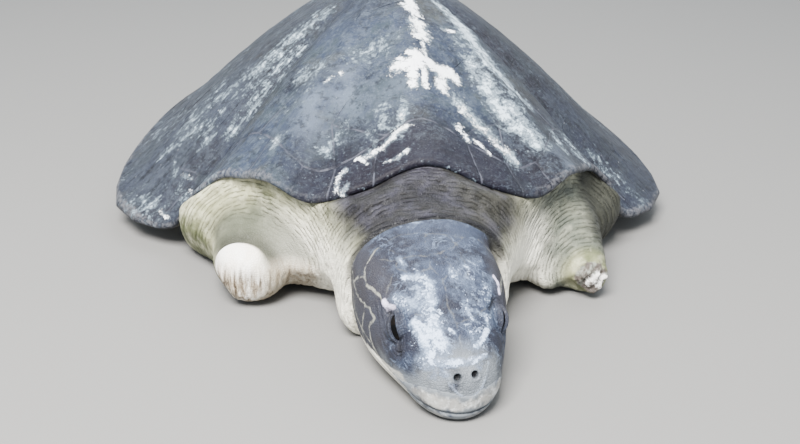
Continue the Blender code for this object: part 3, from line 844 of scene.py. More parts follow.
def is_hidden(points):
    """True for skin that the shell covers from every side."""
    x, y, z = points.T
    degrees = bearing(x, y)
    under_dome = (share(x, y) < 0.80) & (z > np.minimum(rim_under(x, y), 0.12) - 0.012)
    over_plastron = (share(x, y, PLASTRON) < 0.93) & (z < 0.03)
    bridge = (degrees > 67) & (degrees < 122) & (share(x, y) < 0.93)
    return under_dome | over_plastron | bridge


def is_front(points):
    return (points[:, 1] < -0.175) & ~is_hidden(points)


def is_face(points):
    out, ahead, up = in_head(points)
    return (ahead > 0.060) & (np.abs(out) > 0.026) & (up > 0.03) | (ahead > 0.112)


def with_fewer_faces(obj, name, chosen, ratio):
    """The skin with only that ratio of its faces left, taken from among the chosen vertices."""
    group = obj.vertex_groups.new(name=name)
    group.add(np.flatnonzero(chosen).tolist(), 1.0, "REPLACE")
    fewer = obj.modifiers.new(name, "DECIMATE")
    fewer.vertex_group = group.name
    fewer.ratio = ratio
    return evaluated(obj, "skin")


def coarsen_hidden(obj):
    hidden = is_hidden(coordinates(obj.data))
    return with_fewer_faces(obj, "hidden", hidden, 1 - HIDDEN_CUT * float(hidden.mean()))


def thin_out(obj):
    """Takes faces away where the skin is plain. The face keeps all of its own."""
    plain = ~is_face(coordinates(obj.data))
    triangles = sum(len(face.vertices) - 2 for face in obj.data.polygons)
    return with_fewer_faces(obj, "plain", plain, SKIN_TRIANGLES / triangles)


def refine(obj, wanted):
    """Halves the edges of the faces whose middle is wanted, a function of points."""
    bm = bmesh.new()
    bm.from_mesh(obj.data)
    middles = np.array([f.calc_center_median() for f in bm.faces])
    chosen = wanted(middles)
    edges = {e for f, yes in zip(bm.faces, chosen) if yes for e in f.edges}
    bmesh.ops.subdivide_edges(bm, edges=list(edges), cuts=1, use_grid_fill=True)
    bm.to_mesh(obj.data)
    bm.free()


def relax_front(obj):
    bm = bmesh.new()
    bm.from_mesh(obj.data)
    shown = is_front(np.array([v.co for v in bm.verts]))
    chosen = [v for v, yes in zip(bm.verts, shown) if yes]
    for _ in range(FRONT_RELAXING):
        relax(bm, chosen)
    bm.to_mesh(obj.data)
    bm.free()


# Seams between the scales of the head, in millimetres: out to the side, ahead of the crease, up
CHEEK_LINES = (
    ((-62, 4, 90), (-63, 4, 80), (-64, 11, 72), (-65, 25, 69)),
    ((-65, 25, 69), (-64, 37, 67), (-62, 51, 68), (-60, 60, 68), (-58, 70, 63)),
    ((-58, 70, 63), (-60, 62, 51), (-60, 65, 41), (-55, 74, 31)),
    ((-64, 11, 72), (-64, 15, 55), (-65, 21, 50), (-64, 45, 42), (-59, 65, 37), (-54, 77, 30)),
    ((-45, 23, 107), (-54, 28, 99), (-58, 31, 92), (-60, 36, 87)),
    ((-60, 36, 87), (-59, 49, 83), (-54, 62, 83), (-52, 70, 80)),
    ((-60, 36, 87), (-63, 22, 80), (-64, 15, 73)),
    ((-62, 51, 68), (-63, 50, 54), (-64, 45, 42)),
    ((-65, 21, 50), (-63, 20, 36), (-58, 22, 20)),
    ((-64, 45, 42), (-61, 46, 30), (-55, 48, 18)),
)
CROWN_LINES = (
    ((-52, 30, 100), (-44, 44, 104), (-34, 51, 106), (-37, 57, 102), (-43, 64, 95), (-48, 70, 86)),
    ((-46, 23, 107), (-39, 34, 109), (-34, 43, 109), (-34, 51, 106), (-21, 52, 110), (-7, 54, 109)),
    ((-7, 54, 109), (2, 52, 110), (16, 45, 112), (28, 31, 114), (36, 24, 110), (46, 22, 104)),
    ((-4, 24, 118), (-7, 38, 114), (-7, 54, 109)),
    ((-46, 23, 107), (-26, 20, 116), (-4, 24, 118), (13, 28, 117), (28, 31, 114)),
    ((13, 28, 117), (18, 38, 114), (19, 45, 112)),
    ((23, 25, 116), (18, 40, 113)),
    ((19, 45, 112), (19, 54, 108), (21, 60, 106), (34, 64, 98), (44, 62, 90)),
    ((-7, 54, 109), (-10, 66, 104), (-2, 78, 98), (8, 70, 102), (6, 58, 107), (2, 52, 110)),
    ((-10, 66, 104), (-26, 70, 101), (-37, 57, 102)),
    ((-2, 78, 98), (-3, 98, 84), (1, 112, 74)),
    ((8, 70, 102), (21, 76, 97), (21, 60, 106)),
    ((1, 112, 74), (-14, 108, 76), (-30, 98, 78)),
    ((1, 112, 74), (15, 108, 76), (31, 98, 78)),
    ((1, 112, 74), (1, 128, 60)),
)


def segments_of(lines, sides=(1,)):
    """The segments of lines in the head's millimetres, on the sides given."""
    return [
        [MM * np.array((side * out, *rest)) for out, *rest in ends]
        for line in lines
        for ends in zip(line, line[1:])
        for side in sides
    ]


def creases(field, length, sharpness=0.7):
    """Round folds with narrow creases between them: 1 on a fold, 0 in a crease."""
    return np.abs(np.sin(math.pi * field / length)) ** sharpness


def eye_frames():
    """For each eye: side, centre, the way it looks, along its lids and across them."""
    for side in (1, -1):
        centre = head_point(side * EYE_OUT, EYE_AHEAD, EYE_HEIGHT)
        look = head_direction(side * 0.62, 0.76, 0.20)
        along = head_direction(0, 0.60, -0.80)
        along -= look * (along @ look)
        along /= np.linalg.norm(along)
        yield side, centre, look, along, np.cross(look, along)


LID_HALF_LENGTH = 0.0135
LID_HALF_OPENING = 0.0021
LID_THICKNESS = 0.0016
# Raised and sunken lines of the head in millimetres: start, end, half width, strength
BROWS = (
    (-51, 73, 79, -48, 78, 77, 3.0, 1.0),
    (-48, 78, 77, -45, 83, 78, 2.8, 1.0),
    (46, 66, 91, 49, 68, 86, 2.2, 0.9),
    (49, 68, 86, 48, 76, 80, 2.6, 1.0),
)
BEHIND_EYE = (
    (-49, 78, 75, -49, 84, 73, 1.8, 0.9),
    (-49, 84, 73, -48, 92, 68, 2.0, 0.9),
    (-48, 92, 68, -47, 97, 63, 2.2, 1.0),
    (-47, 97, 63, -45, 102, 55, 2.3, 1.0),
    (-45, 102, 55, -43, 106, 45, 1.8, 0.9),
    (41, 86, 79, 34, 96, 76, 2.2, 1.0),
    (34, 96, 76, 31, 104, 66, 1.6, 0.6),
)
UNDER_EYE = (
    (-53, 68, 79, -54, 77, 68, 1.5, 1.0),
    (-54, 77, 68, -54, 92, 60, 1.5, 1.0),
    (-54, 92, 60, -51, 91, 44, 1.5, 0.9),
    (-56, 66, 74, -57, 78, 60, 1.3, 0.8),
    (-57, 78, 60, -54, 88, 44, 1.3, 0.8),
    (54, 70, 74, 54, 84, 62, 1.4, 0.9),
    (54, 84, 62, 51, 90, 46, 1.4, 0.9),
)
NOSE_RIDGE = (
    (-15, 140, 45, -11, 146, 34, 1.7, 1.0),
    (-11, 146, 34, -3, 148, 27, 1.6, 1.0),
    (-3, 148, 27, 4, 148, 24, 1.6, 1.0),
    (4, 148, 24, 13, 146, 30, 1.6, 1.0),
    (13, 146, 30, 17, 143, 37, 1.6, 0.9),
    (17, 143, 37, 22, 135, 47, 1.7, 0.8),
)
HEAD_CHALK = (
    (-11, 4, 120, -2, 10, 118, 3.0, 0.85),
    (-33, 49, 107, -31, 57, 104, 2.4, 0.9),
    (-31, 57, 104, -20, 59, 106, 2.4, 0.9),
    (-32, 68, 98, -18, 73, 99, 3.8, 0.95),
    (-18, 73, 99, -13, 79, 96, 4.2, 0.95),
    (-13, 79, 96, -15, 91, 88, 4.5, 0.95),
    (6, 69, 102, 9, 75, 98, 3.0, 0.85),
    (9, 75, 98, 7, 78, 97, 3.0, 0.85),
    (18, 64, 104, 23, 66, 102, 2.3, 0.85),
    (30, 60, 100, 36, 76, 90, 12, 0.50),
    (34, 84, 86, 34, 104, 70, 10, 0.50),
    (-15, 84, 92, -17, 99, 81, 4.2, 0.95),
    (-17, 99, 81, -14, 116, 68, 4.6, 1.0),
    (-14, 116, 68, -12, 124, 62, 4.6, 1.0),
    (-30, 103, 72, -27, 116, 63, 6.0, 1.0),
    (-27, 116, 63, -24, 126, 56, 6.5, 1.0),
    (-20, 108, 73, -18, 122, 61, 6.5, 1.0),
    (-26, 96, 81, -19, 101, 79, 3.0, 0.9),
    (-25, 130, 51, -16, 135, 50, 4.4, 0.90),
    (-16, 135, 50, -2, 137, 51, 4.4, 0.90),
    (3, 138, 51, 12, 135, 51, 3.4, 0.78),
    (12, 135, 51, 20, 131, 52, 3.2, 0.78),
    (14, 127, 59, 22, 120, 62, 3.0, 0.95),
    (22, 120, 62, 29, 110, 67, 3.0, 0.95),
    (29, 110, 67, 28, 103, 74, 2.8, 0.9),
    (28, 103, 74, 21, 102, 78, 2.6, 0.85),
    (-5, 115, 70, -2, 117, 68, 2.0, 0.85),
    (10, 94, 86, 13, 103, 79, 2.2, 0.85),
    (13, 103, 79, 16, 109, 74, 2.0, 0.8),
    (-22, 75, 97, -20, 100, 82, 14, 0.60),
    (-20, 100, 82, -18, 125, 60, 14, 0.66),
    (15, 70, 100, 18, 125, 60, 14, 0.45),
    (-40, 82, 86, -30, 92, 82, 9, 0.60),
    (-26, 131, 46, -14, 139, 42, 5, 0.72),
    (-30, 124, 50, -22, 133, 44, 7, 0.66),
    (12, 137, 46, 24, 128, 48, 5, 0.62),
)


def fold_fields(points):
    """Distances that the skin's folds follow: about the head, the right stump and the left one."""
    squeeze = np.array(FOLD_SQUEEZE)
    behind_head = away(points, head_point(*FOLD_CENTRE))
    about_right = away(points * squeeze, np.array(RIGHT_STUMP) * squeeze)
    about_left = away(points * squeeze, np.array(LEFT_STUMP) * squeeze)
    return behind_head, about_right, about_left


def head_regions(points):
    """How much each point belongs to the head and to each part of it."""
    out, ahead, up = in_head(points)
    head = smoothstep(-0.001, 0.003, ahead - 0.004 * smoothstep(0.02, 0.05, out))
    side = smoothstep(0.036, 0.050, np.abs(out)) * smoothstep(0.112, 0.096, up)
    return {
        "head": head,
        "cheek": head * (side * smoothstep(0.100, 0.080, ahead)),
        "jaw_cream": head * smoothstep(0.036, 0.022, up) * smoothstep(0.128, 0.100, ahead),
        "snout": head * smoothstep(0.118, 0.136, ahead),
    }


def arm_regions(points, body):
    """The same for the arms and their stumps. The body is the front's skin behind the head."""
    x, _, z = points.T
    _, about_right, _ = fold_fields(points)
    right_arm = body * smoothstep(-0.075, -0.112, x)
    from_knob = away(points, KNOB)
    from_tip = away(points, LEFT_STUMP)
    toward_arm = smoothstep(-0.176, -0.158, x) * smoothstep(0.062, 0.046, z)
    knob = smoothstep(0.0370, 0.0325 - 0.012 * toward_arm, from_knob) * right_arm
    low = smoothstep(0.056, 0.036, z)
    # A ring of painted shade beside the knob's top; the hollow above the stump is painted in shade
    # too
    shade_beside_knob = right_arm * bell(from_knob, 0.040, 0.009) * smoothstep(0.030, 0.050, z)
    hollow = right_arm * smoothstep(0.078, 0.054, about_right) * (1 - low)
    ribbed = right_arm * smoothstep(0.076, 0.058, about_right) * low
    folded = 0.25 + 0.75 * smoothstep(0.046, 0.068, about_right)
    return {
        "right_arm": right_arm * folded * (1 - knob),
        "left_arm": body * smoothstep(0.075, 0.112, x) * smoothstep(0.022, 0.034, from_tip),
        "hollow": hollow * (1 - knob),
        "ribbed": ribbed * smoothstep(-0.180, -0.165, x) * (1 - knob),
        "knob": knob,
        "tip": np.exp(-((from_tip / 0.0175) ** 4)),
        "shade_beside_knob": shade_beside_knob * (1 - knob),
        "torn": np.exp(-((away(points, TORN) / 0.0145) ** 4)),
        "stained": knob * smoothstep(0.056, 0.028, z),
    }


def skin_regions(points, normals):
    """How much each point belongs to each part of the skin, by name."""
    x, y, z = points.T
    in_the_head = head_regions(points)
    not_head = 1 - in_the_head["head"]
    front = smoothstep(-0.150, -0.178, y)
    body = front * not_head
    lowest = 0.073 - 0.08 * np.clip(x, -0.05, 0.08)
    upper = smoothstep(lowest, lowest + 0.036, z) * smoothstep(0.124, 0.074, np.abs(x + 0.002))
    top_dark = upper * not_head * smoothstep(-0.19, -0.22, y)
    shade = smoothstep(0.160, 0.182, x) * smoothstep(-0.150, -0.175, y)
    shade = shade * smoothstep(-0.290, -0.266, y)
    sides = np.where(x < 0, smoothstep(-0.170, -0.125, x), smoothstep(0.140, 0.100, x))
    by_rim = smoothstep(0.80, 0.86, share(x, y)) * smoothstep(0.020, 0.006, rim_under(x, y) - z)
    return {
        **in_the_head,
        **arm_regions(points, body),
        "neck": body * smoothstep(0.115, 0.075, np.abs(x + 0.008)),
        "shade": shade,
        "rear": smoothstep(-0.02, 0.06, y) * smoothstep(-0.35, 0.25, normals[:, 2]),
        # Pale skin along the front rim, also painted light where the rim shades it
        "collar_pale_and_lit": front * by_rim * (1 - shade),
        "cream": np.clip(smoothstep(0.112, 0.055, z) * front * sides, 0, 1),
        "top_dark": top_dark * (1 - 0.03 * smoothstep(0.0, 0.05, x)),
    }


def broad_folds(points, regions):
    """How deep each point lies in the broad creases of the neck and the arms, 0 to 1."""
    wander = waves(points, 0.030, 11)
    jitter = waves(points, 0.012, 12)
    behind_head, about_right, about_left = fold_fields(points)
    neck = 1 - creases(behind_head + 0.004 * wander + 0.0012 * jitter, 0.0105)
    right = 1 - creases(about_right + 0.0026 * wander + 0.0010 * jitter, 0.0085)
    left = 1 - creases(about_left + 0.0026 * wander + 0.0012 * jitter, 0.0088)
    neck *= smoothstep(-0.7, 0.3, waves(points, 0.018, 13))
    return regions["neck"] * neck + regions["right_arm"] * right + regions["left_arm"] * left


def mouth_height(ahead):
    """Height of the line of the closed mouth."""
    return GAPE_CORNER_HEIGHT - math.tan(math.radians(GAPE_SLOPE)) * (ahead - GAPE_CORNER_AHEAD)


def shape_head(points, head):
    """The head's creases, scales, brows, snout and mouth: how far points move, and their paints."""
    out, ahead, up = in_head(points)
    local = np.stack([out, ahead, up], axis=1)
    crease_at = 0.001 + 0.004 * smoothstep(0.02, 0.05, out)
    from_crease = ahead - crease_at
    crease = bell(ahead, crease_at, 0.0020) * smoothstep(0.030, 0.075, up)
    dark_crease = smoothstep(-0.0065, -0.0020, from_crease)
    dark_crease = dark_crease * smoothstep(0.0030, 0.0005, from_crease)
    dark_crease *= smoothstep(0.040, 0.090, up)
    swollen = bell(ahead, crease_at + 0.009, 0.007) * smoothstep(0.05, 0.09, up)
    wander = np.stack([waves(points, 0.010, 31 + k) for k in range(3)], axis=1)
    wandered = local + 0.0007 * wander
    cheek_line = distance_to(wandered, segments_of(CHEEK_LINES, (1, -1)))
    crown_line = distance_to(wandered, segments_of(CROWN_LINES))
    cheek_groove = np.exp(-((cheek_line / SCALE_SEAM_WIDTH) ** 2))
    crown_groove = np.exp(-((crown_line / SCALE_SEAM_WIDTH) ** 2))
    groove = cheek_groove + 0.6 * crown_groove
    brow = strokes(local, BROWS)
    under_eye = strokes(local, UNDER_EYE)
    nose = strokes(local, NOSE_RIDGE)
    mouth = bell(up, mouth_height(ahead), 0.0011) * smoothstep(0.060, 0.070, ahead)
    snout_ridge = bell(up, 0.0525, 0.0035) * smoothstep(0.122, 0.130, ahead)
    snout_ridge = snout_ridge * smoothstep(0.028, 0.018, np.abs(out))
    move = -HEAD_CREASE_DEPTH * crease + BEHIND_CREASE_HEIGHT * swollen
    move = move - SCALE_SEAM_DEPTH * head * groove + BROW_HEIGHT * brow
    lower = -UNDER_EYE_DEPTH * under_eye + NOSE_HEIGHT * nose
    lower = lower + SNOUT_RIDGE_HEIGHT * snout_ridge - MOUTH_DEPTH * mouth
    paints = {
        "cheek_line": cheek_line + 0.01 * (1 - head),
        "crown_line": crown_line + 0.01 * (1 - head),
        # Painted shadow in the crease behind the head and along the mouth line
        "crease": np.clip(dark_crease + 0.35 * mouth, 0, 1),
        "under_eye": under_eye,
        "brow": brow,
        "nose": np.clip(nose + 0.7 * snout_ridge, 0, 1),
        "chalk": strokes(local, HEAD_CHALK) * head,
    }
    return move + lower, paints


def shape_nostrils(points, normals):
    # The pits are painted dark as their shade in the finish
    nostril = np.zeros(len(points))
    inward = -head_direction(0, 1, 0.25)
    for middle in NOSTRILS:
        d = away(points, head_point(*middle))
        pit = smoothstep(0.0038, 0.0022, d)
        points += inward * (NOSTRIL_DEPTH * pit)[:, None]
        points += normals * (NOSTRIL_RIM_HEIGHT * bell(d, 0.0046, 0.0013))[:, None]
        nostril = np.maximum(nostril, pit)
    return nostril


def shape_lids(points, normals):
    """The skin lies on each eye but for the opening between its lids. Returns the painted shade
    about each opening.
    """
    socket = np.zeros(len(points))
    for _, centre, look, along, across in eye_frames():
        offset = points - centre
        distance = np.linalg.norm(offset, axis=1)
        u, v, w = offset @ along, offset @ across, offset @ look
        opening = LID_HALF_OPENING * np.sqrt(np.maximum(1 - (u / LID_HALF_LENGTH) ** 2, 0))
        beyond = np.hypot(np.abs(v), np.abs(u) - LID_HALF_LENGTH)
        margin = np.where(np.abs(u) < LID_HALF_LENGTH, np.abs(v) - opening, beyond)
        near = (w > 0) & (distance < 0.028)
        on_eye = near * smoothstep(0.0165, 0.0120, np.hypot(u, v))
        lid = EYE_RADIUS + LID_THICKNESS + 0.0010 * bell(margin, 0.0014, 0.0010)
        inside = smoothstep(0.0004, -0.0004, margin)
        radius = lid * (1 - inside) + (EYE_RADIUS - 0.003) * inside
        target = centre + offset / distance[:, None] * radius[:, None]
        points += (target - points) * on_eye[:, None]
        fold = near * (bell(margin, 0.0050, 0.0011) + 0.7 * bell(margin, 0.0080, 0.0012))
        points -= normals * (0.0010 * fold)[:, None]
        socket = np.maximum(socket, near * smoothstep(0.0105, 0.0020, margin))
    return socket


def shape_stumps(points, normals, regions):
    """The ragged tip of the left arm and the grooved knob of the right one. Returns its ribs."""
    jitter = waves(points, 0.012, 12)
    lumps = waves(points, 0.013, 41) + 0.6 * waves(points, 0.0055, 42)
    points += normals * (TIP_LUMP_HEIGHT * regions["tip"] * lumps)[:, None]
    behind_tip = bell(away(points, LEFT_STUMP), 0.0235, 0.0028) * (points[:, 0] > 0.1)
    points -= normals * (STUMP_CREASE_DEPTH * behind_tip)[:, None]
    near = [np.exp(-((away(points, at) / reach) ** 2)) for at, reach, _ in LEFT_ARM_PUSHES]
    for amount, (_, _, push) in zip(near, LEFT_ARM_PUSHES):
        points += np.array(push) * amount[:, None]
    ribs = 1 - creases(points[:, 0] + 0.0015 * jitter, 0.0058, 0.5)
    low = smoothstep(0.046, 0.030, points[:, 2])
    ribs *= low * np.maximum(regions["knob"], 0.8 * regions["ribbed"])
    points -= normals * (RIB_DEPTH * ribs)[:, None]
    around = bell(away(points, KNOB), 0.0375, 0.0035) * smoothstep(-0.155, -0.175, points[:, 0])
    points -= normals * (STUMP_CREASE_DEPTH * around)[:, None]
    outer = regions["knob"] * smoothstep(KNOB.x, KNOB.x - 0.025, points[:, 0])
    points[:, 0] += KNOB_OVERHANG * outer * smoothstep(0.038, 0.004, points[:, 2])
    return ribs


def meet_rim(points):
    """Draws the skin up to the underside of the shell's front rim."""
    x, y, z = points.T
    gap = rim_under(x, y) - z
    near = smoothstep(0.80, 0.86, share(x, y)) * smoothstep(-0.150, -0.170, y)
    near = near * smoothstep(0.016, 0.004, gap) * (gap > 0)
    points[:, 2] += near * (gap + 0.0010)


def keep_under_shell(points):
    """Lowers the skin wherever it would come up through the plates."""
    x, y, z = points.T
    within = share(x, y)
    under_band = within >= BAND_SHARE - 0.03
    ceiling = np.where(under_band, rim_under(x, y) + 0.0015, plate_under(x, y) - 0.002)
    points[:, 2] = np.where(within < 0.985, np.minimum(z, ceiling), z)


def shape_skin(obj):
    """Folds, scales, lids, nostrils and the mouth moved into the mesh, with their paints."""
    mesh = obj.data
    points = coordinates(mesh)
    normals = vectors(mesh.vertex_normals, "vector")
    regions = skin_regions(points, normals)
    valley = broad_folds(points, regions)
    move, head_paints = shape_head(points, regions["head"])
    arms = regions["right_arm"] + regions["left_arm"]
    depth = NECK_FOLD_DEPTH * regions["neck"] + ARM_FOLD_DEPTH * arms
    move = move - depth * valley - HOLLOW_DEPTH * regions["hollow"]
    points = points + normals * move[:, None]
    meet_rim(points)
    keep_under_shell(points)
    nostril = shape_nostrils(points, normals)
    socket = shape_lids(points, normals)
    # The groove behind each eye, painted dark as its shadow in the finish
    behind_eye = strokes(np.stack(in_head(points), axis=1), BEHIND_EYE)
    points -= normals * (BEHIND_EYE_DEPTH * behind_eye)[:, None]
    ribs = shape_stumps(points, normals, regions)
    points[:, 2] = np.maximum(points[:, 2], 0.0)
    set_coordinates(mesh, points)
    more = {
        "by_beak": smoothstep(-0.014, -0.001, upper_beak_reach(points)),
        "valley": np.clip(valley, 0, 1),
        "behind_eye": behind_eye,
        "nostril": nostril,
        "socket": socket,
        "ribs": ribs,
    }
    paint(mesh, {**regions, **head_paints, **more})


def skin(nodes, finish):
    obj = coarsen_hidden(skin_blank(nodes))
    refine(obj, is_front)
    refine(obj, is_face)
    relax_front(obj)
    shape_skin(obj)
    obj = thin_out(obj)
    obj.data.polygons.foreach_set("use_smooth", [True] * len(obj.data.polygons))
    obj.data.materials.clear()
    obj.data.materials.append(finish)
    stand_for(obj, "skin", *FLESH)
    return obj


# Eyes and beak


def eyes(finish):
    for side, centre, look, _, _ in eye_frames():
        bm = bmesh.new()
        counts = dict(u_segments=EYE_SEGMENTS, v_segments=EYE_RINGS)
        bmesh.ops.create_uvsphere(bm, radius=EYE_RADIUS, **counts)
        turn = Vector((0, 0, 1)).rotation_difference(Vector(look)).to_matrix().to_4x4()
        bm.transform(Matrix.Translation(Vector(centre)) @ turn)
        name = "left" if side > 0 else "right"
        obj = link(f"eyeball_{name}", bm, finish)
        toward = (coordinates(obj.data) - centre) @ look / EYE_RADIUS
        paint(obj.data, {"from_axis": np.degrees(np.arccos(np.clip(toward, -1, 1)))})
        stand_for(obj, "eye", f"eye_{name}")


def upper_beak_reach(points):
    """Above 0 where the upper beak covers the snout, in metres from its edge."""
    out, ahead, up = in_head(points)
    mouth = mouth_height(ahead)
    side_edge = mouth + 0.004 + 0.016 * smoothstep(0.100, 0.145, ahead)
    nose_edge = 0.0270 + 0.0165 * (np.abs(out - 0.002) / 0.0175) ** 3
    upper_edge = np.minimum(np.maximum(side_edge, 0.012), nose_edge)
    return np.minimum.reduce([upper_edge - up, up - mouth - 0.0004, (ahead - 0.094) * 0.6])


def lower_beak_reach(points):
    """The same for the lower beak."""
    _, ahead, up = in_head(points)
    mouth = mouth_height(ahead)
    return np.minimum.reduce([mouth - 0.0006 - up, up - 0.0015, (ahead - 0.112) * 0.6])


def beak_piece(name, source, reach, thickness, finish, *nodes):
    """Horn on the snout: the skin's own surface there, raised, and thinned out at its edge."""
    bm = bmesh.new()
    bm.from_mesh(source.data)
    bm.normal_update()
    depth = reach(np.array([v.co for v in bm.verts]))
    bare = [v for v, d in zip(bm.verts, depth) if d <= 0]
    for v, d in zip(bm.verts, depth):
        v.co += v.normal * thickness * float(smoothstep(-0.0005, 0.003, d))
    bmesh.ops.delete(bm, geom=bare, context="VERTS")
    relax(bm, bm.verts[:])
    bm.normal_update()
    bmesh.ops.solidify(bm, geom=bm.faces[:], thickness=thickness * 1.6)
    bmesh.ops.recalc_face_normals(bm, faces=bm.faces[:])
    for v in bm.verts:
        v.co.z = max(v.co.z, 0.0)
    obj = link(name, bm, finish)
    paint(obj.data, {"depth": reach(coordinates(obj.data))})
    stand_for(obj, "beak", *nodes)


def beak(source, finish):
    """The upper horn takes the place of the upper beak, the thin lower one of no node."""
    upper = upper_beak_reach, UPPER_HORN_THICKNESS
    lower = lower_beak_reach, LOWER_HORN_THICKNESS
    beak_piece("upper_beak_horn", source, *upper, finish, "upper_beak")
    beak_piece("lower_beak_horn", source, *lower, finish)


# Colours of the shell
SHELL_DARK = (0.008, 0.009, 0.0135)
SHELL_BLUE = (0.02, 0.027, 0.046)
SHELL_OLIVE = (0.034, 0.036, 0.032)
SHELL_TEAL = (0.026, 0.036, 0.041)
# Darker horn at the sides, also painted shade on the left slope
SHELL_SIDE_DARK_AND_SHADE = (0.0135, 0.0128, 0.0168)
SHELL_PALE = (0.05, 0.064, 0.086)
SHELL_BLACK = (0.007, 0.0075, 0.01)
# Purple horn along the front, dark enough to paint in the shade under the rim's arch as well
SHELL_PURPLE_AND_SHADE = (0.006, 0.0046, 0.0078)
# Painted reflection of the sky on the wet horn
SHELL_REFLECTION = (0.1, 0.125, 0.17)
SHELL_FILM = (0.065, 0.08, 0.1)
SHELL_FLAKE = (0.15, 0.19, 0.225)
SHELL_BRIGHT = (0.44, 0.53, 0.6)
SEAM_COLOUR = (0.075, 0.078, 0.1)
RIM_COLOUR = (0.15, 0.15, 0.162)
CHALK_COLOUR = (0.930, 0.960, 0.985)
UNDER_COLOUR = (0.11, 0.1, 0.082)

# Colours of the skin
HIDE_OLIVE = (0.092, 0.102, 0.048)
HIDE_CREAM = (0.34, 0.335, 0.2)
HIDE_PALE = (0.68, 0.66, 0.47)
THROAT_CREAM = (0.97, 0.93, 0.8)
# Grey-green skin darkened as painted shade in the hollow above the right stump
HOLLOW_SHADE = (0.08, 0.085, 0.062)
RIBBED_COLOUR = (0.27, 0.225, 0.17)
LEFT_ARM_GREY = (0.085, 0.094, 0.09)
REAR_DARK = (0.019, 0.02, 0.02)
REAR_SLATE = (0.036, 0.039, 0.037)
REAR_SEAM = (0.105, 0.104, 0.08)
SHADE_OLIVE = (0.026, 0.026, 0.02)
NECK_DARK = (0.0056, 0.005, 0.008)
NECK_PALE = (0.02, 0.0188, 0.031)
KNOB_WHITE = (0.99, 0.965, 0.9)
KNOB_CREAM = (0.9, 0.83, 0.72)
KNOB_TAN = (0.25, 0.195, 0.13)
RIB_BROWN = (0.06, 0.043, 0.028)
TIP_GREY = (0.21, 0.215, 0.185)
TIP_PALE = (0.8, 0.775, 0.735)
TIP_DARK = (0.085, 0.072, 0.062)

# Colours of the head
HEAD_DARK = (0.0125, 0.014, 0.0225)
HEAD_BLUE = (0.025, 0.033, 0.056)
HEAD_PALE = (0.055, 0.072, 0.108)
HEAD_DEEP = (0.011, 0.0118, 0.019)
CHEEK_COLOUR = (0.028, 0.027, 0.033)
SCALE_SEAM = (0.24, 0.24, 0.21)
SNOUT_COLOUR = (0.15, 0.165, 0.178)
CHALK_FILM = (0.09, 0.12, 0.18)
CHALK_SMEAR = (0.2, 0.26, 0.37)
HEAD_CHALK_COLOUR = (0.5, 0.61, 0.82)
BROW_COLOUR = (0.6, 0.56, 0.72)
# Painted shade about each eye's opening
SOCKET_SHADE = (0.014, 0.014, 0.019)
# Painted shadow in the crease behind the head, the grooves behind the eyes and the mouth line
CREASE_SHADOW = (0.005, 0.005, 0.007)
# Painted shade in the nostril pits
NOSTRIL_SHADE = (0.004, 0.0045, 0.006)
BEAK_DARK = (0.17, 0.165, 0.155)
BEAK_BROWN = (0.33, 0.325, 0.305)
BEAK_PALE = (0.7, 0.72, 0.72)

# Colours of the underside, the creases, the eyes and the stage
PLASTRON_CREAM = (0.34, 0.30, 0.20)
PLASTRON_PALE = (0.46, 0.43, 0.33)
PLASTRON_STAIN = (0.19, 0.165, 0.115)
PLASTRON_SEAM = (0.13, 0.11, 0.075)
CREASE_SHADE = (0.20, 0.20, 0.165)
LEFT_CREASE_SHADE = (0.36, 0.37, 0.37)
IRIS_DARK = (0.0016, 0.0012, 0.0010)
IRIS_BROWN = (0.0040, 0.0028, 0.0020)
PUPIL_COLOUR = (0.0006, 0.0006, 0.0006)
EYE_EDGE_COLOUR = (0.0018, 0.0016, 0.0016)
FLOOR_COLOUR = (0.16, 0.157, 0.151)
SKY_COLOUR = (0.84, 0.92, 1.0)
SKY_STRENGTH = 1.45
FLOOR_HALF_SIDE = 6
# Name, place, side, power and colour
SOFT_BOXES = (
    ("key", (-0.60, -1.55, 2.0), 1.1, 390, (1.0, 0.985, 0.96)),
    ("back", (0.3, 1.4, 1.9), 1.6, 50, (0.90, 0.95, 1.0)),
)


# Materials


class Signal:
    """The value of a socket. Arithmetic on it adds nodes to its tree."""

    def __init__(self, wires, socket):
        self.wires = wires
        self.socket = socket

    def __add__(self, other):
        return self.wires.math("ADD", self, other)

    def __sub__(self, other):
        return self.wires.math("SUBTRACT", self, other)

    def __rsub__(self, other):
        return self.wires.math("SUBTRACT", other, self)

    def __mul__(self, other):
        return self.wires.math("MULTIPLY", self, other)

    def __abs__(self):
        return self.wires.math("ABSOLUTE", self)

    def most(self, other):
        """The larger of the two at each point."""
        return self.wires.math("MAXIMUM", self, other)

    def step(self, low, high):
        """0 at low, 1 at high and eased between them, whichever of the two is the larger."""
        inputs = {0: self, 1: low, 2: high}
        return self.wires.get("ShaderNodeMapRange", inputs, interpolation_type="SMOOTHSTEP")

    def tint(self, amount, colour):
        """This colour, with that amount of another one over it."""
        return self.wires.mix(amount, self, colour)


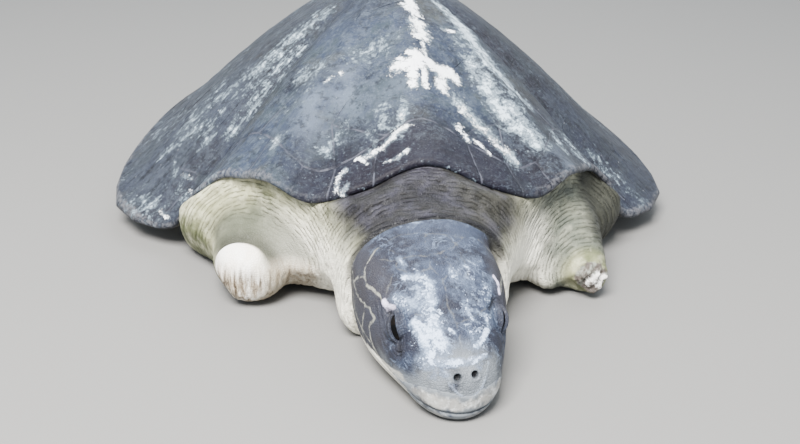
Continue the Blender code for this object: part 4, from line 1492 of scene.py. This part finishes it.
class Wires:
    """Adds nodes to a material's or a group's tree. A given value that is a signal is linked."""

    def __init__(self, tree, effects=None):
        self.tree = tree
        self.effects = effects

    def add(self, kind, inputs=None, **settings):
        node = self.tree.nodes.new(kind)
        for key, value in settings.items():
            setattr(node, key, value)
        for key, value in (inputs or {}).items():
            if isinstance(value, Signal):
                self.tree.links.new(value.socket, node.inputs[key])
            else:
                node.inputs[key].default_value = value
        return node

    def get(self, kind, inputs=None, output=0, **settings):
        return Signal(self, self.add(kind, inputs, **settings).outputs[output])

    def math(self, operation, first, second=0.0):
        return self.get("ShaderNodeMath", {0: first, 1: second}, operation=operation)

    def vector(self, operation, first, second=(0, 0, 0)):
        output = "Value" if operation in ("LENGTH", "DISTANCE") else 0
        inputs = {0: first, 1: second}
        return self.get("ShaderNodeVectorMath", inputs, output, operation=operation)

    def mix(self, amount, first, second, blend="MIX"):
        first, second = (c if isinstance(c, Signal) else (*c, 1) for c in (first, second))
        inputs = {0: amount, 6: first, 7: second}
        return self.get("ShaderNodeMix", inputs, 2, data_type="RGBA", blend_type=blend)

    def painted(self, name):
        return self.get("ShaderNodeAttribute", output="Fac", attribute_name=name)

    def place(self):
        return self.get("ShaderNodeTexCoord", output="Object")

    def noise(self, scale, detail=4.0, roughness=0.55, vector=None, distortion=0.0):
        inputs = {"Vector": vector or self.place(), "Scale": scale, "Detail": detail}
        inputs.update({"Roughness": roughness, "Distortion": distortion})
        return self.get("ShaderNodeTexNoise", inputs, "Fac")

    def use(self, name, *values):
        """One of the shared effects, with the values of its inputs in their order."""
        inputs = dict(enumerate(values))
        return self.get("ShaderNodeGroup", inputs, node_tree=self.effects[name])

    def shade(self, colour, roughness=None, height=None, distance=0.001, strength=1.0):
        """Links the results to the Principled shader."""
        shader = self.tree.nodes["Principled BSDF"]
        self.tree.links.new(colour.socket, shader.inputs["Base Color"])
        if roughness:
            self.tree.links.new(roughness.socket, shader.inputs["Roughness"])
        if height:
            inputs = {"Height": height, "Distance": distance, "Strength": strength}
            bump = self.add("ShaderNodeBump", inputs)
            self.tree.links.new(bump.outputs[0], shader.inputs["Normal"])


def group(name, inputs, output, fill):
    """A shader node group with these inputs, filled by a function of its wires and inputs."""
    tree = bpy.data.node_groups.new(name, "ShaderNodeTree")
    for label, value in inputs.items():
        socket = tree.interface.new_socket(label, in_out="INPUT", socket_type="NodeSocketFloat")
        socket.default_value = value
    tree.interface.new_socket(output, in_out="OUTPUT", socket_type="NodeSocketFloat")
    wires = Wires(tree)
    sockets = wires.add("NodeGroupInput").outputs
    given = {label: Signal(wires, sockets[label]) for label in inputs}
    wires.add("NodeGroupOutput", {0: fill(wires, given)})
    return tree


def ragged_patches(wires, given):
    """Patches with torn edges where the density is high, and specks about them."""
    scale, softness = given["Scale"], given["Softness"]
    coarse = wires.noise(scale, 8.0, 0.68, distortion=0.5) - 0.5
    fine = wires.noise(scale * 4.5, 4.0, 0.6) - 0.5
    level = given["Density"] + (coarse + fine * 0.55) * given["Raggedness"]
    return level.step(0.52 - softness, softness + 0.52)


def radial_streaks(wires, given):
    """Noise drawn out along lines that run from the shell's centre."""
    from_centre = {"Vector": wires.place(), "Location": (0, -SHELL_CENTRE_Y, 0)}
    flat = wires.vector("MULTIPLY", wires.get("ShaderNodeMapping", from_centre), (1, 1, 0))
    unit = wires.add("ShaderNodeSeparateXYZ", {0: wires.vector("NORMALIZE", flat)}).outputs
    along = wires.vector("LENGTH", flat) * given["Along"]
    parts = {0: Signal(wires, unit[0]), 1: Signal(wires, unit[1]), 2: along}
    spot = wires.get("ShaderNodeCombineXYZ", parts)
    return wires.noise(given["Across"], 8.0, 0.72, spot, 0.2)


def wispy(wires, given):
    """Thin squiggles, broken off where a broader noise is low."""
    off_middle = abs(wires.noise(given["Scale"], 3.0, 0.55, distortion=0.8) - 0.5)
    line = off_middle.step(given["Width"], given["Width"] * 0.3)
    return line * wires.noise(given["Scale"] * 0.7, 4.0, 0.6).step(0.44, 0.62)


def flaked(wires, given):
    """How far horn has flaked, 0 to about 1.5: crazed flakes, drawn out along the streaks."""
    drawn = (given["Streaks"] - 0.5) * given["Drawn out"]
    lumps = wires.noise(85.0, 8.0, 0.75, distortion=0.5) - 0.5
    grains = wires.noise(230.0, 5.0, 0.75) - 0.5
    return given["Density"] + drawn + lumps * 2.2 + grains * 1.5


def pebbled(wires, given):
    """Small convex scales with furrows between them."""
    inputs = {"Vector": wires.place(), "Scale": given["Scale"], "Randomness": 0.9}
    cells = wires.get("ShaderNodeTexVoronoi", inputs, "Distance", feature="DISTANCE_TO_EDGE")
    return cells.step(0.0, 0.18) + wires.noise(given["Scale"] * 2.5, 3.0) * 0.35


def folded(wires, given):
    """1 on folds that follow a field, 0 in the creases between them, which wander and end."""
    shift = (wires.noise(34.0, 3.0) - 0.5) * 2.6 + (wires.noise(150.0, 3.0) - 0.5) * 0.9
    field = given["Field"] + shift * given["Wander"]
    phase = wires.math("DIVIDE", field, given["Spacing"]) * math.pi
    wave = wires.math("POWER", abs(wires.math("SINE", phase)), 0.6)
    return 1.0 - (1.0 - wave) * wires.noise(95.0, 3.0).step(0.38, 0.56)


def shared_effects():
    """The node groups by name, each with its inputs in the order that Wires.use takes them."""
    patches = {"Density": 0.5, "Scale": 60.0, "Raggedness": 1.0, "Softness": 0.05}
    flakes = {"Density": 0.5, "Streaks": 0.5, "Drawn out": 1.0}
    streaks = {"Across": 14.0, "Along": 2.0}
    folds = {"Field": 0.0, "Spacing": 0.005, "Wander": 0.002}
    return {
        "patches": group("ragged patches", patches, "Mask", ragged_patches),
        "streaks": group("radial streaks", streaks, "Value", radial_streaks),
        "flakes": group("flaking horn", flakes, "Level", flaked),
        "wisps": group("pale wisps", {"Scale": 60.0, "Width": 0.03}, "Mask", wispy),
        "pebbles": group("pebbled skin", {"Scale": 400.0}, "Height", pebbled),
        "folds": group("skin folds", folds, "Height", folded),
    }


def finish(name, roughness, specular, effects=None):
    made = bpy.data.materials.new(name)
    made.use_nodes = True
    shader = made.node_tree.nodes["Principled BSDF"]
    shader.inputs["Roughness"].default_value = roughness
    shader.inputs["Specular IOR Level"].default_value = specular
    return made, Wires(made.node_tree, effects)


def layered(base, layers):
    """The base under layers of colour, each given with its amount."""
    for amount, colour in layers:
        base = base.tint(amount, colour)
    return base


def shell_colour(wires, thin):
    """Dark slate horn, clouded: purple with painted shade along the front, darker and grained at
    the sides.
    """
    grain = wires.painted("grain")
    wide = wires.use("streaks", 17.0, 1.6)
    painted_reflection = wires.painted("painted_reflection") * wires.noise(30.0, 6.0, 0.7).step(0.30, 0.62)
    base = wires.mix(wires.noise(9.0, 5.0, 0.6).step(0.38, 0.62), SHELL_DARK, SHELL_BLUE)
    layers = (
        (wires.noise(19.0, 6.0, 0.65).step(0.50, 0.62) * 0.65, SHELL_TEAL),
        (wires.noise(13.0, 6.0, 0.65).step(0.54, 0.64) * 0.65, SHELL_OLIVE),
        (wide.step(0.50, 0.66) * grain * 0.45, SHELL_PALE),
        # Painted reflection of the sky on the wet horn
        (painted_reflection * 0.80, SHELL_REFLECTION),
        (wires.noise(60.0, 8.0, 0.75).step(0.50, 0.60) * 0.60, SHELL_PALE),
        (wires.noise(95.0, 8.0, 0.75).step(0.52, 0.60) * 0.62, SHELL_BLACK),
        (wires.noise(210.0, 5.0, 0.75).step(0.53, 0.64) * 0.55, SHELL_FILM),
        # Darker sides, with painted shade on the left slope
        (wires.painted("side_dark_and_shade") * 0.62, SHELL_SIDE_DARK_AND_SHADE),
        (thin.step(0.51, 0.60) * (grain * 0.72 + 0.12), SHELL_BLACK),
        # Purple along the front, with painted shade there
        (wires.painted("front") * 0.86, SHELL_PURPLE_AND_SHADE),
        (wires.use("wisps", 60.0, 0.030) * 0.25, SHELL_FILM),
        (wires.noise(480.0, 3.0, 0.7).step(0.62, 0.70) * 0.40, SHELL_FLAKE),
    )
    return layered(base, layers)


def shell_seams(wires, base):
    """Thin pale broken lines between the plates, clearest in front, and darker horn beside them."""
    seam = wires.painted("seam")
    near_edge = wires.painted("near_edge")
    ragged = (wires.noise(240.0, 4.0, 0.7) - 0.5) * 0.0020
    line = (seam + ragged).step(0.0012, 0.0003) * wires.noise(60.0, 4.0).step(0.38, 0.58)
    base = base.tint(seam.step(0.0050, 0.0012) * near_edge * 0.30, SHELL_BLACK)
    return base.tint(line * (near_edge * 0.60 + 0.06), SEAM_COLOUR)


def shell_edge(wires, base):
    """The shell's rim, chipped and pale along a ragged line and dabbed with white above it."""
    edge = wires.painted("rim")
    chips = wires.noise(190.0, 6.0, 0.75).step(0.42, 0.58)
    ragged = (wires.noise(260.0, 6.0, 0.8) - 0.5) * 0.009
    reach = (wires.noise(13.0, 4.0, 0.65) - 0.46) * 0.030
    line = (edge + (ragged - reach)).step(0.0034, 0.0004) * (1.0 - wires.painted("front"))
    dabs = wires.use("patches", edge.step(0.0300, 0.0040) * 0.26, 75.0, 1.5, 0.04)
    base = base.tint(line * chips * 0.50, RIM_COLOUR)
    return base.tint(dabs * 0.70, SHELL_FLAKE)


def shell_finish(effects):
    """Horn that flakes along its streaks, with seams, a worn rim and chalk."""
    made, wires = finish("shell_horn", 0.5, 0.10, effects)
    grain = wires.painted("grain")
    thin = wires.use("streaks", 46.0, 1.1)
    density = wires.painted("flakes") + wires.noise(7.0, 3.0).step(0.40, 0.64) * 0.16
    level = wires.use("flakes", density, thin, grain * 1.6 + 0.4)
    flake = level.step(0.74, 0.82)
    core = level.step(1.00, 1.10)
    flakes = (
        (level.step(0.42, 0.90) * 0.60, SHELL_FILM),
        (flake * 0.85, SHELL_FLAKE),
        (core * 0.90, SHELL_BRIGHT),
    )
    base = layered(shell_colour(wires, thin), flakes)
    base = shell_edge(wires, shell_seams(wires, base))
    chalk_at = wires.painted("chalk")
    chalk = wires.use("patches", chalk_at * 0.72, 110.0, 1.9, 0.12)
    cover = (
        (wires.use("patches", chalk_at * 0.80, 90.0, 1.5, 0.20) * 0.65, SHELL_FLAKE),
        (chalk * 0.90, CHALK_COLOUR),
        (wires.painted("under") * 0.9, UNDER_COLOUR),
    )
    fine = wires.noise(240.0, 5.0, 0.7)
    rough = fine * 0.18 + 0.34 + chalk.most(flake * 0.8) * 0.30
    height = fine * 0.55 + chalk * 0.90 + thin * (grain * 2.0 + 0.3)
    height = height + wires.noise(60.0, 6.0, 0.7) * 1.6 + (flake + core) * 0.45
    wires.shade(layered(base, cover), rough, height, 0.0010, 1.0)
    return made


def plastron_finish(effects):
    """Cream horn with stains and brown seams."""
    made, wires = finish("plastron_horn", 0.55, 0.4, effects)
    base = wires.mix(wires.noise(14.0, 4.0).step(0.35, 0.65), PLASTRON_CREAM, PLASTRON_PALE)
    base = base.tint(wires.use("patches", 0.42, 18.0, 0.9, 0.15) * 0.35, PLASTRON_STAIN)
    base = base.tint(wires.painted("seam").step(0.004, 0.0) * 0.7, PLASTRON_SEAM)
    fine = wires.noise(160.0, 5.0, 0.65)
    wires.shade(base, fine * 0.25 + 0.42, fine, 0.0005, 0.7)
    return made


def folds_of_skin(wires):
    """How deep each point is in a fine crease of the neck, or of an arm about its stump."""
    place = wires.place()
    squeezed = wires.vector("MULTIPLY", place, FOLD_SQUEEZE)
    fields = (
        ("neck", place, head_point(*FOLD_CENTRE), 0.0046, 0.0034),
        ("right_arm", squeezed, RIGHT_STUMP * Vector(FOLD_SQUEEZE), 0.0040, 0.0028),
        ("left_arm", squeezed, LEFT_STUMP * Vector(FOLD_SQUEEZE), 0.0040, 0.0028),
    )
    depth = 0.0
    for name, spot, middle, spacing, wander in fields:
        field = wires.vector("DISTANCE", spot, tuple(middle))
        fold = wires.use("folds", field, spacing, wander)
        depth = (1.0 - fold) * wires.painted(name) + depth
    return depth


def hide_colour(wires, fine_folds):
    """Skin of the neck and the arms: cream ridges, creases darkened with painted shade, darker on
    top of the neck.
    """
    left_arm = wires.painted("left_arm")
    cream = wires.painted("cream") * wires.noise(30.0, 4.0).step(0.14, 0.48)
    collar_pale_and_lit = wires.painted("collar_pale_and_lit") * wires.noise(70.0, 4.0).step(0.30, 0.55)
    base = wires.mix(wires.noise(16.0, 4.0).step(0.35, 0.65), HIDE_OLIVE, HIDE_CREAM)
    dark = wires.mix(wires.noise(40.0, 4.0).step(0.40, 0.65), NECK_DARK, NECK_PALE)
    layers = (
        (wires.noise(60.0, 5.0).step(0.45, 0.70) * 0.5, HIDE_PALE),
        (left_arm * 0.68, LEFT_ARM_GREY),
        (cream * 0.90, THROAT_CREAM),
        # Painted shade in the hollow and beside the knob
        (wires.painted("hollow") * 0.85, HOLLOW_SHADE),
        (wires.painted("shade_beside_knob") * 0.65, SHADE_OLIVE),
        (wires.painted("ribbed") * 0.7, RIBBED_COLOUR),
        (wires.painted("shade") * 0.9, SHADE_OLIVE),
        # Pale skin along the rim, also painted light against the rim's shade
        (collar_pale_and_lit * 0.55, HIDE_PALE),
        (wires.painted("top_dark") * 0.98, dark),
    )
    ridge = layered(base, layers)
    # Painted shade in the creases: the ridge's colour darkened
    crease = wires.mix(1.0, ridge, CREASE_SHADE, "MULTIPLY")
    crease = crease.tint(left_arm, wires.mix(1.0, ridge, LEFT_CREASE_SHADE, "MULTIPLY"))
    crease = crease.tint(cream * 0.5, ridge)
    valley = (wires.painted("valley") * 0.7).most(fine_folds)
    return ridge.tint(valley * 0.92, crease)


def rear_colour(wires, cells, base):
    """The tops of the hind flippers and of the tail: slate scales with paler skin between them."""
    slate = wires.mix(wires.noise(35.0, 5.0, 0.6).step(0.38, 0.62), REAR_DARK, REAR_SLATE)
    slate = slate.tint(cells.step(0.50, 0.20) * 0.60, REAR_SEAM)
    return base.tint(wires.painted("rear") * 0.92, slate)


def stump_colour(wires, base):
    """The white knob of the right arm with its brown strands, and the torn tip of the left arm."""
    upright = wires.get("ShaderNodeMapping", {"Vector": wires.place(), "Scale": (1, 1, 0.10)})
    strands = wires.noise(230.0, 6.0, 0.65, upright)
    stained = wires.painted("stained")
    low = stained.most(wires.painted("ribbed") * 0.7)
    knob = wires.mix(wires.noise(45.0, 4.0).step(0.42, 0.66), KNOB_WHITE, KNOB_CREAM)
    clefts = wires.noise(80.0, 6.0, 0.7, distortion=0.6).step(0.43, 0.55)
    tip = wires.use("patches", wires.painted("tip"), 90.0, 0.8, 0.08)
    torn = wires.use("patches", wires.painted("torn"), 60.0, 1.6, 0.08)
    layers = (
        (wires.painted("knob"), knob),
        (stained * 0.25, KNOB_TAN),
        (low * strands.step(0.36, 0.54) * 0.90, KNOB_TAN),
        (low * strands.step(0.54, 0.62) * 0.90, RIB_BROWN),
        (wires.painted("ribs").step(0.35, 0.95) * 0.55, RIB_BROWN),
        (tip, wires.mix(clefts, TIP_GREY, TIP_DARK)),
        (torn, wires.mix(clefts, TIP_PALE, TIP_DARK)),
    )
    return layered(base, layers)


def head_colour(wires, base):
    """Slate scales with pale seams on the cheeks and pale wisps on the crown."""
    cheek = wires.painted("cheek")
    wisps = wires.use("wisps", 75.0, 0.035) * (1.0 - cheek)
    broken = wires.noise(70.0, 3.0).step(0.24, 0.46)
    ragged = (wires.noise(260.0, 4.0, 0.7) - 0.5) * 0.003
    side_line = (wires.painted("cheek_line") + ragged).step(0.0019, 0.0006) * broken
    top_line = (wires.painted("crown_line") + ragged).step(0.0014, 0.0003) * broken
    pale = (wires.painted("jaw_cream") + wires.noise(60.0, 5.0, 0.6)).step(0.75, 1.05)
    blue = wires.mix(wires.noise(30.0, 5.0, 0.6).step(0.40, 0.60), HEAD_DARK, HEAD_BLUE)
    layers = (
        (wires.noise(120.0, 5.0).step(0.50, 0.70) * 0.45, HEAD_PALE),
        (wires.noise(52.0, 5.0, 0.65).step(0.54, 0.66) * 0.50, HEAD_DEEP),
        (cheek * 0.75, CHEEK_COLOUR),
        (wisps * 0.75, CHALK_FILM),
        (side_line * 0.80, SCALE_SEAM),
        (top_line * 0.16, SCALE_SEAM),
        (wires.painted("under_eye") * 0.60, HEAD_DEEP),
        (pale * 0.85, THROAT_CREAM),
    )
    return base.tint(wires.painted("head"), layered(blue, layers))


def face_colour(wires, base):
    """Chalk, brows, the nose's ridge, and painted shade about the eyes, in the creases and in the
    nostrils; also the chalk alone.
    """
    snout = wires.painted("snout").most(wires.painted("by_beak"))
    snout = snout * wires.noise(60.0, 5.0).step(0.26, 0.54)
    chalk_at = wires.painted("chalk")
    film = wires.use("patches", chalk_at, 55.0, 1.3, 0.28)
    smear = wires.use("patches", chalk_at * 0.68, 85.0, 1.6, 0.16)
    crust = wires.use("patches", chalk_at * 0.56, 110.0, 1.9, 0.08)
    nose = wires.painted("nose").step(0.35, 0.90) * wires.noise(140.0, 4.0).step(0.38, 0.60)
    brow = wires.painted("brow") + wires.noise(110.0, 6.0, 0.65) * 1.5
    layers = (
        (snout * 0.75, SNOUT_COLOUR),
        (film * 0.70, CHALK_FILM),
        (smear * 0.80, CHALK_SMEAR),
        (crust * 0.80, HEAD_CHALK_COLOUR),
        (nose * 0.28, HEAD_CHALK_COLOUR),
        (brow.step(1.20, 1.62) * 0.95, BROW_COLOUR),
        # Painted shade about the eyes
        (wires.painted("socket") * 0.70, SOCKET_SHADE),
        # Painted shadow in the grooves behind the eyes and the crease behind the head
        (wires.painted("behind_eye") * 0.92, CREASE_SHADOW),
        (wires.painted("crease") * 0.85, CREASE_SHADOW),
        # Painted shade in the nostril pits
        (wires.painted("nostril"), NOSTRIL_SHADE),
    )
    return layered(base, layers), crust.most(smear * 0.6)


def skin_finish(effects):
    """The one skin: folded hide, scaled hind limbs, stumps and the head."""
    made, wires = finish("skin", 0.55, 0.18, effects)
    fine_folds = folds_of_skin(wires)
    cells = wires.use("pebbles", 95.0)
    base = rear_colour(wires, cells, hide_colour(wires, fine_folds))
    base = head_colour(wires, stump_colour(wires, base))
    base, chalk = face_colour(wires, base)
    fine = wires.noise(500.0, 4.0, 0.6)
    height = wires.use("pebbles", 420.0) * 0.35 + chalk * 0.3 + fine * 0.12
    height = height - fine_folds * 1.5 + wires.painted("rear") * cells
    wires.shade(base, fine * 0.22 + 0.42, height, 0.0010, 0.9)
    return made


def beak_finish(effects):
    """Mottled horn, which at its edge has the colours of the skin that it grows from."""
    made, wires = finish("beak_horn", 0.5, 0.22, effects)
    skin_near = wires.mix(wires.noise(30.0, 5.0, 0.6).step(0.40, 0.60), HEAD_DARK, HEAD_BLUE)
    skin_near = skin_near.tint(wires.noise(120.0, 5.0).step(0.30, 0.55) * 0.85, SNOUT_COLOUR)
    horn = wires.mix(wires.noise(45.0, 5.0).step(0.36, 0.64), BEAK_DARK, BEAK_BROWN)
    pale = wires.use("patches", wires.painted("chalk") * 0.5 + 0.40, 60.0, 1.7, 0.16)
    nose = wires.painted("nose") * wires.noise(140.0, 4.0).step(0.38, 0.60)
    horn = layered(horn, ((pale * 0.70, BEAK_PALE), (nose * 0.25, HEAD_CHALK_COLOUR)))
    ragged = (wires.noise(90.0, 5.0, 0.65) - 0.5) * 0.022
    inside = (wires.painted("depth") + ragged).step(0.0010, 0.0080)
    fine = wires.noise(420.0, 4.0, 0.6)
    wires.shade(skin_near.tint(inside, horn), fine * 0.25 + 0.40, fine, 0.0005, 0.7)
    return made


def eye_finish():
    """A dark pupil and a nearly black iris."""
    made, wires = finish("eye", 0.22, 0.12)
    angle = wires.painted("from_axis")
    iris = wires.mix(wires.noise(700.0, 3.0).step(0.4, 0.6), IRIS_DARK, IRIS_BROWN)
    base = wires.mix(angle.step(20.0, 23.0), PUPIL_COLOUR, iris)
    wires.shade(base.tint(angle.step(40.0, 46.0), EYE_EDGE_COLOUR))
    return made


def floor_finish():
    made, wires = finish("pale_floor", 0.85, 0.2)
    shader = wires.tree.nodes["Principled BSDF"]
    shader.inputs["Base Color"].default_value = (*FLOOR_COLOUR, 1)
    return made


# Stage


def stage(finish_of_floor):
    bm = bmesh.new()
    bmesh.ops.create_grid(bm, x_segments=1, y_segments=1, size=FLOOR_HALF_SIDE)
    floor = link("floor", bm, finish_of_floor, smooth=False)
    floor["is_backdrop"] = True
    world = bpy.context.scene.world or bpy.data.worlds.new("studio")
    bpy.context.scene.world = world
    world.use_nodes = True
    background = world.node_tree.nodes["Background"]
    background.inputs["Color"].default_value = (*SKY_COLOUR, 1)
    background.inputs["Strength"].default_value = SKY_STRENGTH
    for name, place, size, power, colour in SOFT_BOXES:
        light = bpy.data.lights.new(name, "AREA")
        light.energy = power
        light.size = size
        light.color = colour
        obj = add_object(name, light)
        obj.location = place
        obj.rotation_euler = (-Vector(place)).to_track_quat("-Z", "Y").to_euler()


def camera():
    angles = (VIEW_AZIMUTH, VIEW_ELEVATION, VIEW_ROLL)
    azimuth, elevation, roll = (math.radians(angle) for angle in angles)
    aside = math.sin(azimuth) * math.cos(elevation)
    before = math.cos(azimuth) * math.cos(elevation)
    back = Vector((aside, -before, math.sin(elevation)))
    right = (-back).cross(Vector((0, 0, 1))).normalized()
    up = right.cross(-back)
    rolled_right = math.cos(roll) * right + math.sin(roll) * up
    rolled_up = math.cos(roll) * up - math.sin(roll) * right
    turn = Matrix((rolled_right, rolled_up, back)).transposed().to_4x4()
    data = bpy.data.cameras.new("camera")
    data.lens = LENS
    data.clip_start = 0.01
    obj = add_object("camera", data)
    obj.matrix_world = Matrix.Translation(VIEW_TARGET + back * VIEW_DISTANCE) @ turn
    bpy.context.scene.camera = obj


def write_sizes(before, after):
    boxes = {"cad": before, "visual": after}
    plain = {name: [[float(v) for v in corner] for corner in box] for name, box in boxes.items()}


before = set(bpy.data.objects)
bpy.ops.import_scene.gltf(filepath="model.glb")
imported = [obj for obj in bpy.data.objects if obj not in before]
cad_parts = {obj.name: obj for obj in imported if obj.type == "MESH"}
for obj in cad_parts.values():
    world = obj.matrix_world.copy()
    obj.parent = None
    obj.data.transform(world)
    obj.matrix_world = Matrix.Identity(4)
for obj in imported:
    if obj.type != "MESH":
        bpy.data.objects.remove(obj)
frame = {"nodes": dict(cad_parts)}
cad_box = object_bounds()
effects = shared_effects()
carapace(shell_finish(effects))
lower_shell(plastron_finish(effects))
whole_skin = skin(frame["nodes"], skin_finish(effects))
beak(whole_skin, beak_finish(effects))
eyes(eye_finish())
stage(floor_finish())
camera()
write_sizes(cad_box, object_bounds())
